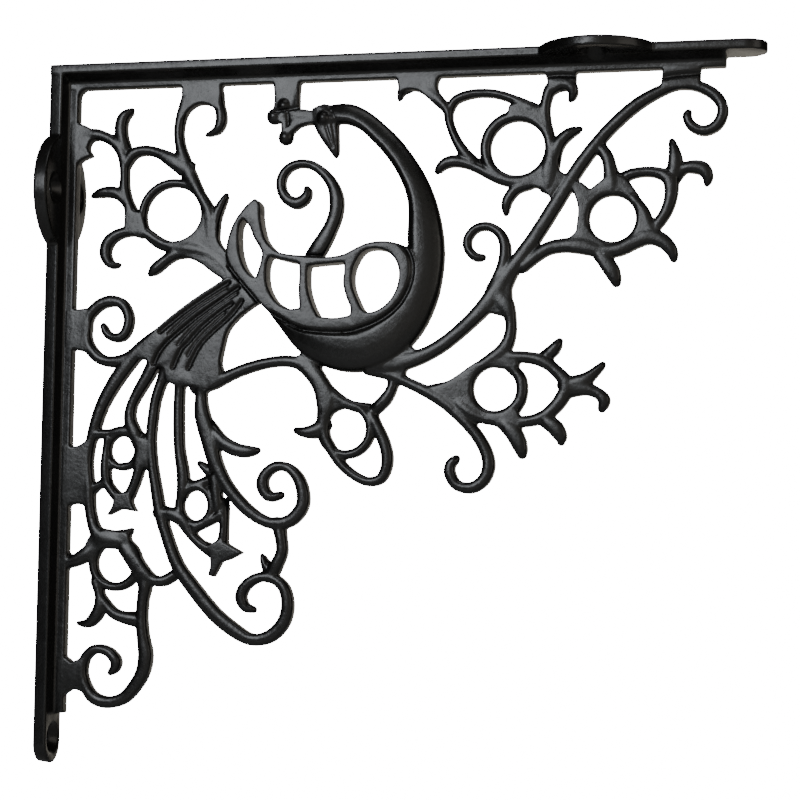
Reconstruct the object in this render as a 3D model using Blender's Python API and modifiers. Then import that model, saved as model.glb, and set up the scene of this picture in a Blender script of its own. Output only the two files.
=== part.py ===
# Cast iron shelf bracket with a peacock in its fretwork, modelled as the one casting it is.
# The wall is the plane X = 0, the shelf arm runs out along +X and the bracket stands in the XZ plane.
# Everything is drawn in millimetres as (x, drop): x out from the wall, drop down from the shelf face.
# A bar's point carries its width too: (x, drop, width).
import bpy
import bmesh
from math import cos, sin, radians, hypot, atan2, degrees, tanh
from mathutils import Matrix

MM = 0.001

# Driving dimensions of the angle frame
REACH = 230.0
HEIGHT = 225.0
FLANGE_WIDTH = 13.4
WALL_FLANGE = 4.3
SHELF_FLANGE = 3.2
WALL_FLANGE_AT_WEB = 5.1
SHELF_FLANGE_AT_WEB = 5.4
WEB_THICKNESS = 4.4
WALL_WEB_DEPTH = 7.7
SHELF_WEB_DEPTH = 7.1
WALL_WEB_END = 209.0
SHELF_WEB_END = 217.5

# Screw lugs: a round pad across each flange, with a countersunk hole each side of the web
LUG_RADIUS = 18.7
WALL_LUG_DROP = 41.0
SHELF_LUG_X = 178.0
HOLE_OFFSET = 10.0
HOLE_RADIUS = 2.6
SINK_RADIUS = 5.1
SINK_DEPTH = 2.5
END_HOLE_DROP = 217.0

# Section of the fretwork: a bar is deeper than it is wide, up to the depth of the whole web
BAR_DEPTH_RATIO = 1.7
BAR_HALF_DEPTH = 3.0
PLATE_HALF_DEPTH = 2.0
FAN_HALF_DEPTH = 2.2
POST_FRONT = 2.6
POST_BACK = 2.2
BODY_DEPTH_RATIO = 0.86
BODY_HALF_DEPTH = 6.4
WING_FRONT = 5.0
WING_BACK = 2.2
TURN_STEP = 18.0
SECTION_TILT = 30.0
RING_SIDES = 20
LUG_SIDES = 32
HOLE_SIDES = 16

# The fretwork's one skin: the grain it is cast at, and the share of its faces kept
SKIN_GRAIN = 0.5
SKIN_SHARE_KEPT = 0.021

# The origin is on the wall face, level with the wall lug's two screws
ORIGIN_DROP = WALL_LUG_DROP

NAME = "bracket"


def world(x, drop, y=0.0):
    """A point of the drawing in metres."""
    return (x * MM, y * MM, (ORIGIN_DROP - drop) * MM)


# The long stem, from the body up to the shelf arm, ending in a scroll
STEM = {
    "stem": [(114, 97.6, 4.6), (121, 96.4, 4.0), (126, 94.3, 3.8), (131, 91.2, 3.8), (136, 87.1, 3.8),
             (141.3, 82.1, 4.2), (145.8, 76.7, 4.8), (150.6, 69.6, 4.2), (158, 59.8, 4.0),
             (165.6, 47.8, 3.9), (172.2, 37.2, 3.6), (180.3, 26.9, 3.3), (190.2, 18.2, 3.2),
             (200, 13, 2.8), (206, 12.4, 2.7), (211, 13.9, 2.9), (215, 17, 3.1), (216.4, 21, 3.0),
             (214.6, 25.2, 2.9), (210.6, 26.9, 2.6), (206.9, 25.3, 2.3), (205.3, 22.4, 2.0),
             (205.6, 20.8, 1.3)],
    "stem_curl": [(144.5, 76.5, 3.0), (148.2, 69, 3.2), (149.4, 63.5, 3.2), (148.9, 59.6, 2.9),
                  (147, 56.7, 2.6), (143.6, 55.0, 2.3), (140, 55.7, 2.2), (137.6, 58.5, 2.3),
                  (137.5, 61.7, 2.3), (139.7, 64.6, 2.0), (142.6, 65.0, 1.3)],
    "stem_branch": [(146, 75, 4.6), (149.6, 79.5, 4.4), (151.3, 84.5, 3.1), (151.2, 89, 3.2),
                    (149.4, 93.4, 3.8), (145, 96.8, 3.3), (139.5, 100, 2.9), (133.5, 103.8, 2.6),
                    (126, 106, 2.6)],
}

# The peacock: head, neck and body in one tapering sweep, then its crest
BIRD = {
    "body": [(87.5, 19, 3.2), (91, 18.4, 6.4), (95.5, 17.9, 6.2), (99.5, 18.6, 5.6), (104, 21, 5.2),
             (108, 24.7, 5.2), (112, 28.8, 5.3), (116, 34, 5.4), (119.4, 39.8, 6.0), (121.8, 45.4, 6.9),
             (123.2, 51, 8.8), (123.9, 57, 10.8), (124.4, 63, 11.2), (124, 69.5, 11.4),
             (122, 76.4, 12.4), (117.4, 84.2, 13.2), (110.4, 90.2, 14.0), (102, 92.7, 13.4),
             (93.4, 91.2, 12.8), (86.6, 87.2, 10.2), (79.8, 81.8, 7.4), (74, 77.2, 4.6)],
}
BEAK = {
    "beak": [(90.6, 18.5, 7.0), (92.4, 23.5, 5.4), (94, 28, 2.6), (94.9, 31.3, 1.0)],
    "crest_upper": [(87.5, 18.9, 3.0), (82, 18.4, 3.2), (76, 18.2, 3.6)],
    "crest_lower": [(87, 19.4, 2.4), (82, 20.4, 2.6), (78.4, 22.8, 2.4), (78.1, 25, 2.4)],
}
CREST_KNOBS = [(74.4, 18.1, 2.6), (78.1, 25.1, 2.6)]

# Bars about the ring at the upper left, between the wall arm and the tail
UPPER_LEFT = {
    "link": [(9, 23.6, 4.0), (13.2, 22.2, 3.4), (17, 23, 3.0), (20.8, 25.7, 3.4),
             (23.3, 29.8, 3.2), (23.9, 36, 2.4), (24.2, 40.5, 2.8), (25.6, 45.2, 2.9), (28.2, 51.5, 4.4)],
    "hook_up": [(24.8, 29, 3.6), (23.1, 24.5, 3.4), (22.5, 20, 3.4), (23.5, 16.6, 3.0), (26, 14.7, 1.6)],
    "hook_out": [(27, 50, 3.4), (25, 45.6, 3.0), (22, 41.9, 3.4), (18.5, 41.2, 3.1), (15.6, 41.6, 2.4),
                 (13.2, 42.5, 1.0)],
    "top": [(24.3, 32.5, 2.8), (26.8, 29, 3.0), (31, 27.9, 2.7), (35.5, 28.9, 3.0), (40, 31.3, 4.4),
            (45.5, 34.6, 6.0)],
    "right": [(45.4, 10, 4.2), (43.5, 15.4, 3.0), (42.3, 20.4, 2.6), (42.8, 25.4, 2.7), (44.4, 31, 3.6),
              (46.8, 36.6, 4.4), (50, 42.6, 3.0), (53.2, 48.6, 5.0), (53.4, 55, 5.8), (52.5, 60, 7.0)],
    "right_hook": [(54.6, 57, 3.2), (55, 52, 3.0), (56.1, 48, 2.8), (58.6, 43.3, 1.4)],
    "hanger_curl": [(53.6, 9, 5.0), (55.6, 13, 3.0), (56.8, 16.6, 2.8), (56.9, 19.4, 2.8),
                    (55, 22, 2.2), (51.6, 23.5, 0.9)],
    "lower": [(23, 65.1, 1.2), (20.2, 64.9, 2.3), (18.4, 62.4, 3.0), (18.3, 59.5, 3.2), (19.9, 56.7, 3.2),
              (23, 54.9, 2.9), (27, 54.2, 2.8), (31.5, 54.8, 3.2), (36, 57.6, 2.9), (41, 59.6, 3.0),
              (47, 60, 5.6), (53, 61.6, 7.0), (58, 65.4, 7.0), (63, 71, 6.6)],
    "lower_hook": [(46, 61.5, 3.2), (42, 61.9, 3.4), (38.6, 64, 3.0), (35.6, 66.4, 3.2), (33.7, 68.1, 1.8)],
}

# The scroll that leaves the wall arm and runs on into the tail
LEFT_SCROLL = {
    "scroll": [(18, 84.9, 1.2), (19.4, 87.4, 2.1), (22.2, 88.8, 2.4), (25.2, 87.8, 2.7),
               (27, 84.3, 2.8), (26.6, 80.6, 2.9), (24, 77.6, 3.0), (20.3, 76.8, 3.2), (16.4, 78.2, 3.1),
               (13.2, 81.6, 3.0), (12.2, 86, 3.0), (12.9, 90.4, 3.0), (15.5, 94.2, 3.2),
               (19, 96.2, 3.1), (23, 96.4, 3.2), (27.4, 95.2, 3.6), (32, 91.5, 4.0)],
}

# The tail's long feathers, each one bar, three of them ending in scrolls
FEATHERS = {
    "feather_1": [(31, 92.5, 4.0), (24.7, 100, 4.2), (21.3, 105.2, 3.9), (18.3, 110.8, 3.5),
                  (16.4, 116.4, 3.3), (14.8, 123, 2.8), (14.2, 130, 2.6), (14.6, 137, 3.2),
                  (15.8, 143.5, 2.8), (17.4, 150, 3.4), (20, 153.4, 5.0), (26, 154.2, 4.6)],
    "feather_2": [(36, 95.5, 4.4), (33, 101.5, 3.9), (30.5, 106, 3.3), (28.9, 110.4, 2.9),
                  (28.3, 115, 3.4), (29.6, 119.4, 3.8), (31.6, 124, 4.2)],
    "feather_3": [(40, 98, 3.6), (38, 103, 3.1), (36.4, 109, 2.8), (35.6, 115, 2.8), (35.3, 122, 3.0),
                  (36.1, 130, 3.0), (37.4, 138, 3.1), (38.9, 145.5, 3.3), (41.4, 153, 3.2),
                  (45.5, 161.4, 3.7), (51, 168.4, 4.5), (57.9, 175.9, 4.7), (64.2, 181.3, 4.3),
                  (70, 184.2, 3.5), (75.6, 183.5, 3.7), (80, 179.4, 3.8), (81.7, 174, 3.6),
                  (80.2, 168.4, 3.1), (76.4, 165.3, 2.8), (71.7, 165.1, 2.8), (67.7, 167.6, 3.0),
                  (66.1, 171.2, 3.1), (67.6, 174.6, 2.3), (70.7, 175.3, 1.1)],
    "feather_4": [(45, 99, 3.0), (44.4, 105, 2.8), (44.3, 116, 2.9), (44.8, 125, 2.9), (46.2, 133, 3.4),
                  (46, 140, 3.0)],
    "feather_5": [(52.4, 100, 5.0), (51.6, 107, 3.2), (52.5, 114, 4.0), (54.8, 121, 4.4),
                  (57, 128.4, 4.0), (60.6, 136, 3.5), (66.4, 142.7, 3.5), (72, 146.7, 3.2),
                  (77, 148.1, 3.3), (82, 146.9, 3.6), (85.4, 143, 3.6), (85.8, 138.6, 3.5),
                  (84.2, 133.9, 3.2), (80.9, 130.6, 2.7), (76.7, 130.1, 2.7), (73.2, 132.8, 3.0),
                  (72.5, 136.4, 3.3), (74.8, 139.9, 2.9), (79.2, 139.2, 1.0)],
    "leaf": [(54.5, 117, 3.6), (58.4, 121.6, 3.6), (63, 124.3, 3.6), (67, 125.1, 3.2), (71, 125, 1.2)],
    "feather_1_link": [(15.8, 119.8, 3.0), (21, 120, 1.8), (26, 119.7, 2.2), (31, 120.6, 3.4)],
}

# Bars about the two feather eyes: eye A by the wall arm, eye B in the middle of the tail
FEATHER_EYES = {
    "a_left": [(21, 121, 2.0), (20.3, 126, 2.0), (20, 131, 2.6), (20.7, 135.4, 2.6), (23.2, 139, 2.8),
               (25.6, 141.6, 3.6)],
    "a_floor": [(20.4, 130, 1.8), (26, 130, 1.5), (32.5, 129.4, 2.6)],
    "a_right": [(31.8, 129, 3.0), (30.8, 133.4, 2.8), (29.2, 137.6, 2.8), (26.8, 141.6, 3.6)],
    "a_link": [(13.4, 139, 4.4), (17.2, 136.5, 2.3), (21, 135.2, 2.6)],
    "a_fill": [(32.6, 121, 3.6), (33, 126, 4.4), (33.4, 130, 3.0)],
    "b_top": [(46, 136, 3.0), (50.5, 136.4, 2.0), (55, 134.4, 3.4)],
    "b_barb": [(56.4, 133, 3.0), (51.8, 129.4, 1.0)],
    "b_link": [(38.6, 145, 4.0), (42.4, 145.3, 3.8), (46.6, 147, 4.0), (49.6, 151, 2.8),
               (53.4, 154.6, 3.0), (57.4, 157.6, 4.6)],
    "b_fill": [(56.6, 133, 4.6), (57.4, 139, 4.6), (58.4, 144, 4.0)],
    "b_right": [(59.6, 141.6, 3.2), (60.3, 147, 2.7), (60.2, 152, 2.7), (58.8, 157, 4.4)],
    "b_floor": [(50, 149.6, 3.0), (55, 147.6, 2.4), (59.6, 145, 2.8)],
}
FISH_TAILS = {
    "a_tail": [(23.2, 139), (28.8, 138.6), (29.4, 142), (30.8, 144.5), (26.2, 143.8), (24.3, 144.4),
               (21.6, 145.7), (23.4, 142.4)],
    "b_tail": [(55, 155.4), (59, 153.4), (61.6, 154.8), (66.3, 157.3), (62.4, 159.3), (59.7, 160.1),
               (57.1, 164.9), (55.7, 164.4), (56.4, 160.6)],
}

# The lowest motif: ring, its hooks, the link to the third feather and the bottom scroll
LOWEST = {
    "ring_link": [(7, 160.8, 4.4), (10.5, 160.4, 3.6), (14, 158.6, 4.2), (17.4, 155.6, 4.4)],
    "top_hook": [(18, 152, 4.0), (23, 152.4, 3.2), (27, 151.8, 2.6), (29.5, 150.5, 1.2)],
    "shoulder": [(26, 154.6, 4.0), (30, 159.6, 4.6), (33, 163.6, 4.6), (36.6, 166, 2.8),
                 (40.6, 166.1, 2.7), (44.6, 164, 3.2)],
    "toe": [(17.4, 166.6, 2.6), (19, 170.6, 2.6), (19.4, 174.6, 3.3), (18, 178, 3.4),
            (15.4, 180.4, 2.6), (12, 180.4, 1.0)],
    "floor": [(19.8, 172.6, 2.4), (23.6, 176.6, 2.2), (28, 178.6, 2.4), (32.6, 180, 4.0)],
    "tail_scroll": [(32, 163.4, 4.4), (34.2, 167.8, 3.8), (33.9, 173, 3.3), (33.8, 179, 3.4),
                    (34.4, 184.4, 3.4), (35, 190, 4.0), (34.2, 195.4, 3.8), (31.6, 200, 3.6),
                    (27.6, 203.6, 3.4), (22.6, 205, 3.4), (18, 203.4, 3.3), (14.9, 199.8, 3.0),
                    (13.8, 195.6, 3.0), (14.9, 191.2, 2.6), (18, 188.6, 2.6), (22, 189.1, 2.7),
                    (24.9, 191.7, 3.0), (24.9, 194.4, 2.3), (23, 196.1, 0.9)],
}

# The two scrolls hung below the fifth feather
LOW_MIDDLE = {
    "drop": [(77.6, 148, 4.0), (79.4, 152.6, 3.2), (79.9, 157, 3.3), (78.2, 161, 3.6), (75.4, 164.4, 4.4)],
    "drop_hook": [(75.2, 163, 4.4), (73.6, 160.6, 2.5), (72.8, 158.2, 1.2)],
}

# The scroll that stands on the wing's back
BACK_SCROLL = {
    "wing_scroll": [(87, 64, 8.0), (90, 59.5, 5.4), (92.8, 55, 4.4), (94.7, 50, 4.2), (95.1, 45.4, 4.0),
                    (93.8, 41, 3.2), (91, 37.2, 2.8), (87.2, 34.4, 2.4), (83, 33.6, 2.2),
                    (79.3, 34.9, 2.3), (77, 38, 2.5), (76.9, 41.7, 2.6), (78.8, 44.9, 3.0),
                    (82, 46.3, 3.3), (84.7, 44.9, 2.9), (85.6, 42.8, 2.2), (85, 41.4, 1.4)],
}

# Bars about the ring under the middle of the shelf arm
TOP_MIDDLE = {
    "hanger": [(119.5, 8, 7.0), (123, 11, 5.0), (127, 14.6, 3.4), (130.2, 18.2, 2.8), (131.2, 22, 2.2),
               (133.2, 27, 2.5), (136.4, 32, 3.2), (140.6, 36, 3.4)],
    "hanger_hook": [(118.6, 8.6, 4.6), (115.8, 11, 2.4), (115, 14, 1.0)],
    "arch": [(131.2, 18, 2.2), (132.8, 15, 2.3), (136.4, 13.4, 2.3), (141, 12.8, 2.2), (146.5, 13.4, 2.2),
             (151.5, 15.2, 2.4), (156.5, 17.8, 3.4), (161, 20, 4.0)],
    "left_hook": [(127.6, 37.2, 1.8), (129.4, 35.2, 2.7), (132.4, 34.2, 3.2), (136.5, 34.8, 3.0),
                  (141, 36.8, 2.8), (146, 39.5, 3.0), (152, 41.4, 3.0), (158, 41.6, 3.0)],
    "low_hook": [(157, 42, 3.0), (152.8, 43.4, 3.0), (150.2, 46.4, 2.8), (149.4, 49, 2.4),
                 (149.5, 51.2, 1.4)],
    "right": [(167, 11.2, 3.2), (163.6, 12, 3.0), (161.9, 15.6, 2.9), (161.6, 19.4, 3.2),
              (162.3, 23.4, 3.0), (163.7, 28, 2.7), (163.8, 33, 3.6), (163, 38, 5.0), (162.6, 43, 5.0)],
    "curl": [(163.4, 12.6, 3.0), (166.6, 10.7, 3.4), (169.4, 11.5, 3.4), (170.2, 13.8, 2.6),
             (169.5, 15.9, 1.5)],
    "right_hook": [(163.8, 36, 3.2), (164.4, 31.2, 3.4), (166.2, 28.2, 3.0), (169.2, 26, 2.6),
                   (172.6, 25.2, 1.3)],
}

# Bars about the ring beyond the stem
RIGHT = {
    "upper_branch": [(177.6, 30, 3.0), (181, 33.6, 3.0), (182.3, 37.6, 3.4), (182.6, 43, 6.0)],
    "lower_branch": [(169.4, 41.6, 3.0), (172.8, 45.2, 2.8), (175.4, 48.6, 3.0)],
    "sweep": [(154.6, 68.4, 3.0), (158.4, 64.8, 3.0), (162.8, 62.1, 3.0), (168, 61.3, 3.2),
              (173.5, 61.5, 4.0), (179, 62.9, 3.2), (184.6, 62.6, 3.2), (189.6, 60.3, 3.0),
              (194, 58.6, 3.6), (198, 59.8, 3.4), (200.6, 62.8, 3.2), (201.5, 66, 1.8)],
    "foot": [(176.5, 61.6, 3.6), (180.2, 65.8, 3.8), (182.7, 69.8, 4.0), (183.9, 73.2, 2.4)],
    "leaf": [(184, 41.6, 3.2), (188, 39.6, 2.4), (193, 38.9, 2.1), (197.4, 39.5, 2.6), (200.4, 42, 4.2),
             (200.9, 46.6, 3.2), (199.4, 51.6, 2.8), (196.4, 55.6, 3.0), (193, 58.2, 3.2)],
    "leaf_thorn": [(201.3, 41, 4.4), (202, 36.4, 4.2), (201.7, 33, 3.2), (200.9, 30, 1.8)],
    "leaf_hook": [(201.6, 41.4, 3.6), (204.4, 38.5, 3.0), (207.6, 37.7, 3.2), (210.8, 38.4, 3.4),
                  (212, 40.6, 2.6), (211.8, 42.8, 1.3)],
    "ring_side": [(189, 47.6, 2.6), (192, 51.4, 2.8), (193.6, 55.6, 3.0), (195.4, 58.6, 3.0)],
}

# The branch from under the body to the ring at the lower right, and its scroll
LOWER_RIGHT = {
    "long_scroll": [(106, 99.9, 2.6), (113, 101.2, 3.2), (119, 103.8, 3.0), (125.4, 106.8, 3.4),
                    (131, 110.2, 3.6), (136, 114.6, 3.4), (140.6, 119.6, 3.3), (143.8, 124.8, 3.4),
                    (144.9, 129.6, 3.5), (143.4, 134, 3.3), (139.5, 136.5, 3.2), (135, 135.7, 3.0),
                    (132.4, 132.4, 3.2), (132.5, 129.4, 2.8), (134.2, 127.4, 1.4)],
    "ring_top": [(146, 97, 3.8), (151.6, 96, 3.2), (157, 96.2, 2.8), (161.6, 97.4, 3.2),
                 (165.2, 100, 3.4), (168.6, 104.6, 4.2), (166.6, 110.2, 3.8), (161.6, 114.4, 2.8),
                 (156, 115.9, 2.6), (150, 115.8, 3.4)],
    "horn": [(161.4, 96.4, 3.6), (164.6, 93.6, 2.9), (166.5, 91, 1.6)],
    "thorn": [(168.6, 104.6, 4.4), (173.6, 103.6, 4.0), (177, 101.2, 2.3), (180, 98.3, 1.3)],
    "claw": [(169, 106.6, 4.2), (174, 105.4, 3.6), (178, 106.6, 2.6), (180.5, 109, 3.0), (179.9, 112, 2.0)],
    "toe": [(161.4, 115, 4.0), (165.2, 117.2, 4.0), (167.2, 120.2, 3.0), (167.5, 122, 1.6)],
    "heel": [(148.6, 115.8, 3.8), (152.4, 118.8, 4.4), (154.8, 123, 3.6), (155.6, 126, 2.2)],
    "ring_floor": [(133.6, 108.6, 4.4), (138.6, 113, 4.0), (144, 115.2, 3.0), (150, 116, 3.0)],
    "ring_front": [(151.6, 99.4, 3.2), (155.2, 103, 3.2), (155.3, 108.6, 3.2), (151.8, 113.4, 3.4)],
}

# The branch under the body, from the tail to the ring below it
UNDER_BODY = {
    "branch": [(50, 104.6, 4.0), (56, 103, 3.4), (61, 100.8, 2.6), (67, 98.5, 2.5), (73, 97, 2.4),
               (78.6, 96.4, 2.6), (83.6, 97.2, 3.4), (87.8, 100.4, 4.4), (90.8, 105, 6.0),
               (92.2, 110.4, 6.4), (91.9, 116, 3.4), (92.6, 121.5, 3.0)],
    "shoulder": [(84, 94.4, 4.0), (88, 98.8, 4.4), (91.2, 103.6, 3.4), (95.6, 108.2, 3.2),
                 (100.8, 111.1, 2.4), (106, 112.2, 3.0)],
    "drop": [(113.6, 100.8, 3.6), (114, 105, 2.8), (112, 109.4, 3.0), (108, 112.4, 3.6)],
    "hook": [(83.2, 118.7, 1.8), (86, 119.3, 2.6), (89.4, 118.8, 3.8), (92.4, 116.6, 4.4)],
    "loop": [(106.8, 112.4, 3.4), (109.6, 116.4, 3.0), (112, 121.2, 3.0), (113.3, 126.6, 3.0),
             (112.7, 131.2, 3.0), (110.4, 134, 2.7), (106.6, 134.7, 2.6), (102.6, 133.1, 2.5),
             (98.6, 130, 2.6), (95.6, 126.2, 2.8), (92.4, 120.8, 3.0)],
}

# Rings as (x, drop, radius of the hole, width of the bar, height of the hole over its width)
RINGS = {
    "ring_upper_left": (41.2, 48.9, 9.3, 2.2, 1.0),
    "ring_top_middle": (153.2, 30.4, 8.8, 2.9, 1.0),
    "ring_right": (182.8, 53.5, 7.4, 2.7, 1.0),
    "ring_lower_right": (146.6, 105.9, 7.0, 2.7, 1.0),
    "ring_under_body": (99.6, 118.3, 6.6, 2.4, 1.0),
    "ring_lowest": (23.4, 161.8, 6.1, 2.4, 1.0),
    "ring_eye_a": (25.7, 125, 4.2, 1.8, 1.1),
    "ring_eye_b": (50.6, 142.6, 4.2, 2.4, 1.16),
}

# Flat webs that fill the crotches between bars, and the pads that tie the fretwork to the frame
WEBS = {
    "hanger_left": [(43.4, 6), (56.2, 6), (56.4, 12), (54.6, 15.2), (52.6, 13.8), (50, 13.2),
                    (47.4, 13.9), (45.2, 15.8), (43.8, 18), (41.9, 17), (43.3, 12.5)],
    "web_ring_a": [(40, 58.2), (44.6, 57.6), (48.6, 55), (51, 51), (56, 53), (56.2, 59.6), (59.2, 63.4),
                   (59, 69.4), (54, 66), (48, 63.4), (42, 62)],
    "web_ring_a_top": [(25, 47), (30.6, 48.6), (32.4, 54.6), (30, 56.4), (25, 54.6)],
    "hanger_middle": [(113.8, 6), (127, 6), (126, 9.4), (126.4, 11.6), (129.4, 14.4), (126, 15.4),
                      (121.8, 11.8), (118.2, 11), (115.2, 12), (114.8, 9)],
    "web_ring_b": [(160.6, 36.6), (164.6, 32), (165.2, 38), (168.2, 39.8), (163.6, 46.4), (160, 43.4),
                   (154, 42.6), (153, 40.4), (158, 39.6)],
    "web_ring_b_top": [(150.4, 17.4), (154.6, 16.6), (160, 18.4), (162.4, 26), (159.4, 24), (155.4, 21.2),
                       (149.8, 21.2)],
    "hanger_curl": [(162.2, 6), (171, 6), (171, 10), (168, 12.2), (163, 11.6)],
    "hanger_stem": [(198.4, 6), (209.6, 6), (209.3, 13), (204, 13.4), (197.6, 14)],
    "web_ring_c": [(168, 60.4), (171.6, 57.6), (173.6, 53), (176.4, 58), (181, 61.4), (178, 63.6),
                   (172, 62.6)],
    "web_ring_c_top": [(175.4, 45), (180, 41.4), (183.6, 39.6), (187, 42.4), (190.4, 46), (186, 45.6),
                       (180, 45.4), (176.4, 48.4)],
    "web_ring_c_side": [(188, 60.4), (191, 56), (193.4, 54), (197.6, 56.4), (196, 60.4)],
    "web_ring_d": [(127, 105), (133, 102.6), (140.4, 97.6), (143, 98), (139.6, 102.4), (138.8, 108.4),
                   (141.6, 113), (138, 114), (132, 109.6)],
    "web_ring_d_top": [(142, 98.4), (148.4, 93.6), (152.2, 94.8), (154, 98.6), (151, 99.6)],
    "web_ring_d_low": [(148, 113.6), (153.6, 112.6), (155.6, 116.4), (153, 119.6), (147, 117.4)],
    "web_stem_fork": [(142.4, 79.6), (146.6, 74), (151.2, 72), (151.6, 80), (147.6, 81.4)],
    "web_ring_e": [(90.6, 104), (96, 108), (100, 110.8), (96, 112), (93, 115.4), (92, 120), (90.6, 118)],
    "web_body": [(82, 93), (89, 97.6), (92, 101), (88.6, 103.4), (84, 99.4), (79, 97)],
    "web_feather_tips": [(26.4, 119), (28.4, 115), (31.4, 120.6), (34.4, 122), (34.2, 130.4), (30, 130.4),
                         (31, 125), (29.6, 121.4)],
    "web_lowest": [(15.6, 153), (20, 150.6), (28.6, 152), (29.6, 156.4), (24, 155.2), (18.6, 157.2),
                   (16, 161), (13.6, 158)],
    "web_lowest_side": [(29, 157), (33.6, 161), (36.4, 166), (33.6, 168.4), (30.6, 166.6), (29.6, 162)],
    "pad_link": [(6, 18.4), (8.6, 18.8), (12, 20.2), (14, 22.4), (12.2, 24.8), (11.4, 26.8), (12.9, 29.2),
                 (9.8, 30.4), (8, 31.8), (6, 32)],
    "pad_scroll": [(6, 80), (12.6, 79.4), (14, 84), (13.6, 90), (15, 94), (10, 92.6), (6, 92)],
    "pad_eye_a": [(6, 123.6), (10.4, 124), (14, 122), (14.8, 131), (15.4, 139), (14.6, 142.8),
                  (10.6, 142.2), (6, 143)],
    "pad_lowest": [(6, 193), (11, 193.2), (14.4, 191.4), (14.6, 202), (11, 200.6), (6, 200.8)],
    "crest_fan": [(75, 16.6), (83.4, 16.4), (88, 17.6), (87.6, 20.8), (83, 21.4), (80, 23.6), (77, 23.4),
                  (76.8, 20.4), (74, 19.6)],
}
CREST_POST = [(73.8, 6), (82.6, 6), (82.2, 10), (82.2, 16.6), (74.2, 16.6), (74.6, 12)]

# The tail's fan, and the ridges that rise on it towards the rump
TAIL_FAN = [(60, 70.4), (54, 73.6), (46, 78.8), (38, 85), (31.4, 91.2), (28, 94.8), (30.4, 95.4),
            (33, 96.6), (34.6, 99), (37, 98.4), (39.6, 99.4), (40.4, 103), (42.6, 103.8), (46, 104.4),
            (50, 104.6), (53, 106.6), (57, 103.4), (58.4, 99.6), (57.9, 97), (58.8, 92), (60.2, 87),
            (63.4, 83), (68, 79.4), (71.4, 77.4), (66, 71)]
TAIL_RIDGES = {
    "ridge_1": [(60.4, 72, 2.0), (50, 77.8, 3.0), (40, 85, 3.4), (31, 93, 3.2)],
    "ridge_2": [(62.4, 73.6, 1.8), (52, 80.4, 2.6), (43, 86.6, 3.2), (35.4, 96, 3.2)],
    "ridge_3": [(64.4, 75, 1.8), (54.6, 82.4, 2.4), (46, 89.4, 3.0), (40.2, 98.6, 3.2)],
    "ridge_4": [(66, 76.2, 1.8), (57, 84, 2.4), (49.4, 92, 3.0), (44.8, 103, 3.0)],
    "ridge_5": [(67.8, 77.6, 1.8), (60, 84, 2.2), (54.6, 92, 3.0), (51.8, 104, 3.4)],
}

# The raised wing: its edge, and the openings cut through it
WING_EDGE = [(69.4, 45.4), (71.2, 47), (71.6, 51), (72.4, 55), (73.6, 58.4), (76.4, 61.6), (80, 63),
             (86, 63.6), (93, 64.1), (98.4, 63.2), (102.4, 61.3), (106, 60), (110, 59.6), (114, 60.1),
             (118, 61.4), (120.6, 63.6), (121.2, 68), (120.4, 73), (118.6, 77.8), (115.8, 81.6),
             (112, 84.6), (107.6, 86.5), (102, 87.6), (96, 87.9), (90, 87.4), (84, 86.2), (79, 84.2),
             (75, 81.6), (70.8, 77.6), (66.4, 72.6), (62.2, 67.4), (60.4, 63.4), (60.6, 59.4),
             (61.6, 55.6), (63.2, 52), (65.4, 49), (67.4, 46.8)]
WING_OPENINGS = {
    "lens": [(65.2, 50.6), (68, 53.6), (69.8, 57.6), (71.2, 60), (72.4, 62.4), (72, 65.6), (71.2, 68.6),
             (70.4, 71.2), (68, 70.2), (65.6, 67), (64, 62.6), (63.4, 57.6), (63.7, 53.4)],
    "first": [(74, 62.9), (78.6, 64.2), (84.5, 65.5), (84.9, 70), (84.7, 75), (85.2, 80.7), (81, 80.4),
              (77.6, 78.4), (75, 75.6), (73.3, 71.6), (72.9, 67)],
    "second": [(86.4, 66.1), (92.4, 65.7), (99.3, 65.1), (99.5, 69), (99.2, 72.6), (100.1, 76.8),
               (101.7, 80.4), (101.8, 83.3), (96, 83.8), (90.4, 83.4), (88, 79), (86.7, 74.4), (86.3, 70)],
    "third": [(104.6, 61.8), (108.6, 61.1), (112.4, 62), (115.2, 64.3), (116.8, 67.4), (117.1, 71),
              (116.2, 75), (114.2, 78.6), (111, 81.4), (107.4, 82.8), (104.6, 81.9), (102.6, 78.4),
              (101.1, 73.6), (100.8, 69), (102.1, 64.8)],
}


def remove_everything():
    for item in list(bpy.data.objects):
        bpy.data.objects.remove(item, do_unlink=True)


def make_collection(name):
    collection = bpy.data.collections.new(name)
    bpy.context.scene.collection.children.link(collection)
    return collection


def iron():
    """Black stove enamel over cast iron."""
    material = bpy.data.materials.new("black_enamel")
    material.use_nodes = True
    shader = material.node_tree.nodes["Principled BSDF"]
    shader.inputs["Base Color"].default_value = (0.012, 0.012, 0.013, 1.0)
    shader.inputs["Roughness"].default_value = 0.38
    shader.inputs["Metallic"].default_value = 0.0
    return material


def smooth(points):
    """A Catmull-Rom curve through the points, with only as many steps as its turning needs."""
    padded = [points[0]] + list(points) + [points[-1]]
    result = []
    for i in range(1, len(padded) - 2):
        a, b, c, d = padded[i - 1:i + 3]
        turn = abs(heading(a, c, b) - heading(b, d, c)) % 360.0
        turn = min(turn, 360.0 - turn)
        steps = max(1, round(turn / TURN_STEP))
        for step in range(steps):
            t = step / steps
            result.append(tuple(blend(a[k], b[k], c[k], d[k], t) for k in range(3)))
    result.append(tuple(points[-1]))
    return result


def heading(a, b, fallback):
    if hypot(b[0] - a[0], b[1] - a[1]) < 1e-6:
        a = fallback
    return degrees(atan2(b[1] - a[1], b[0] - a[0]))


def blend(a, b, c, d, t):
    return 0.5 * (2 * b + (c - a) * t + (2 * a - 5 * b + 4 * c - d) * t ** 2
                  + (3 * b - a - 3 * c + d) * t ** 3)


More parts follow.
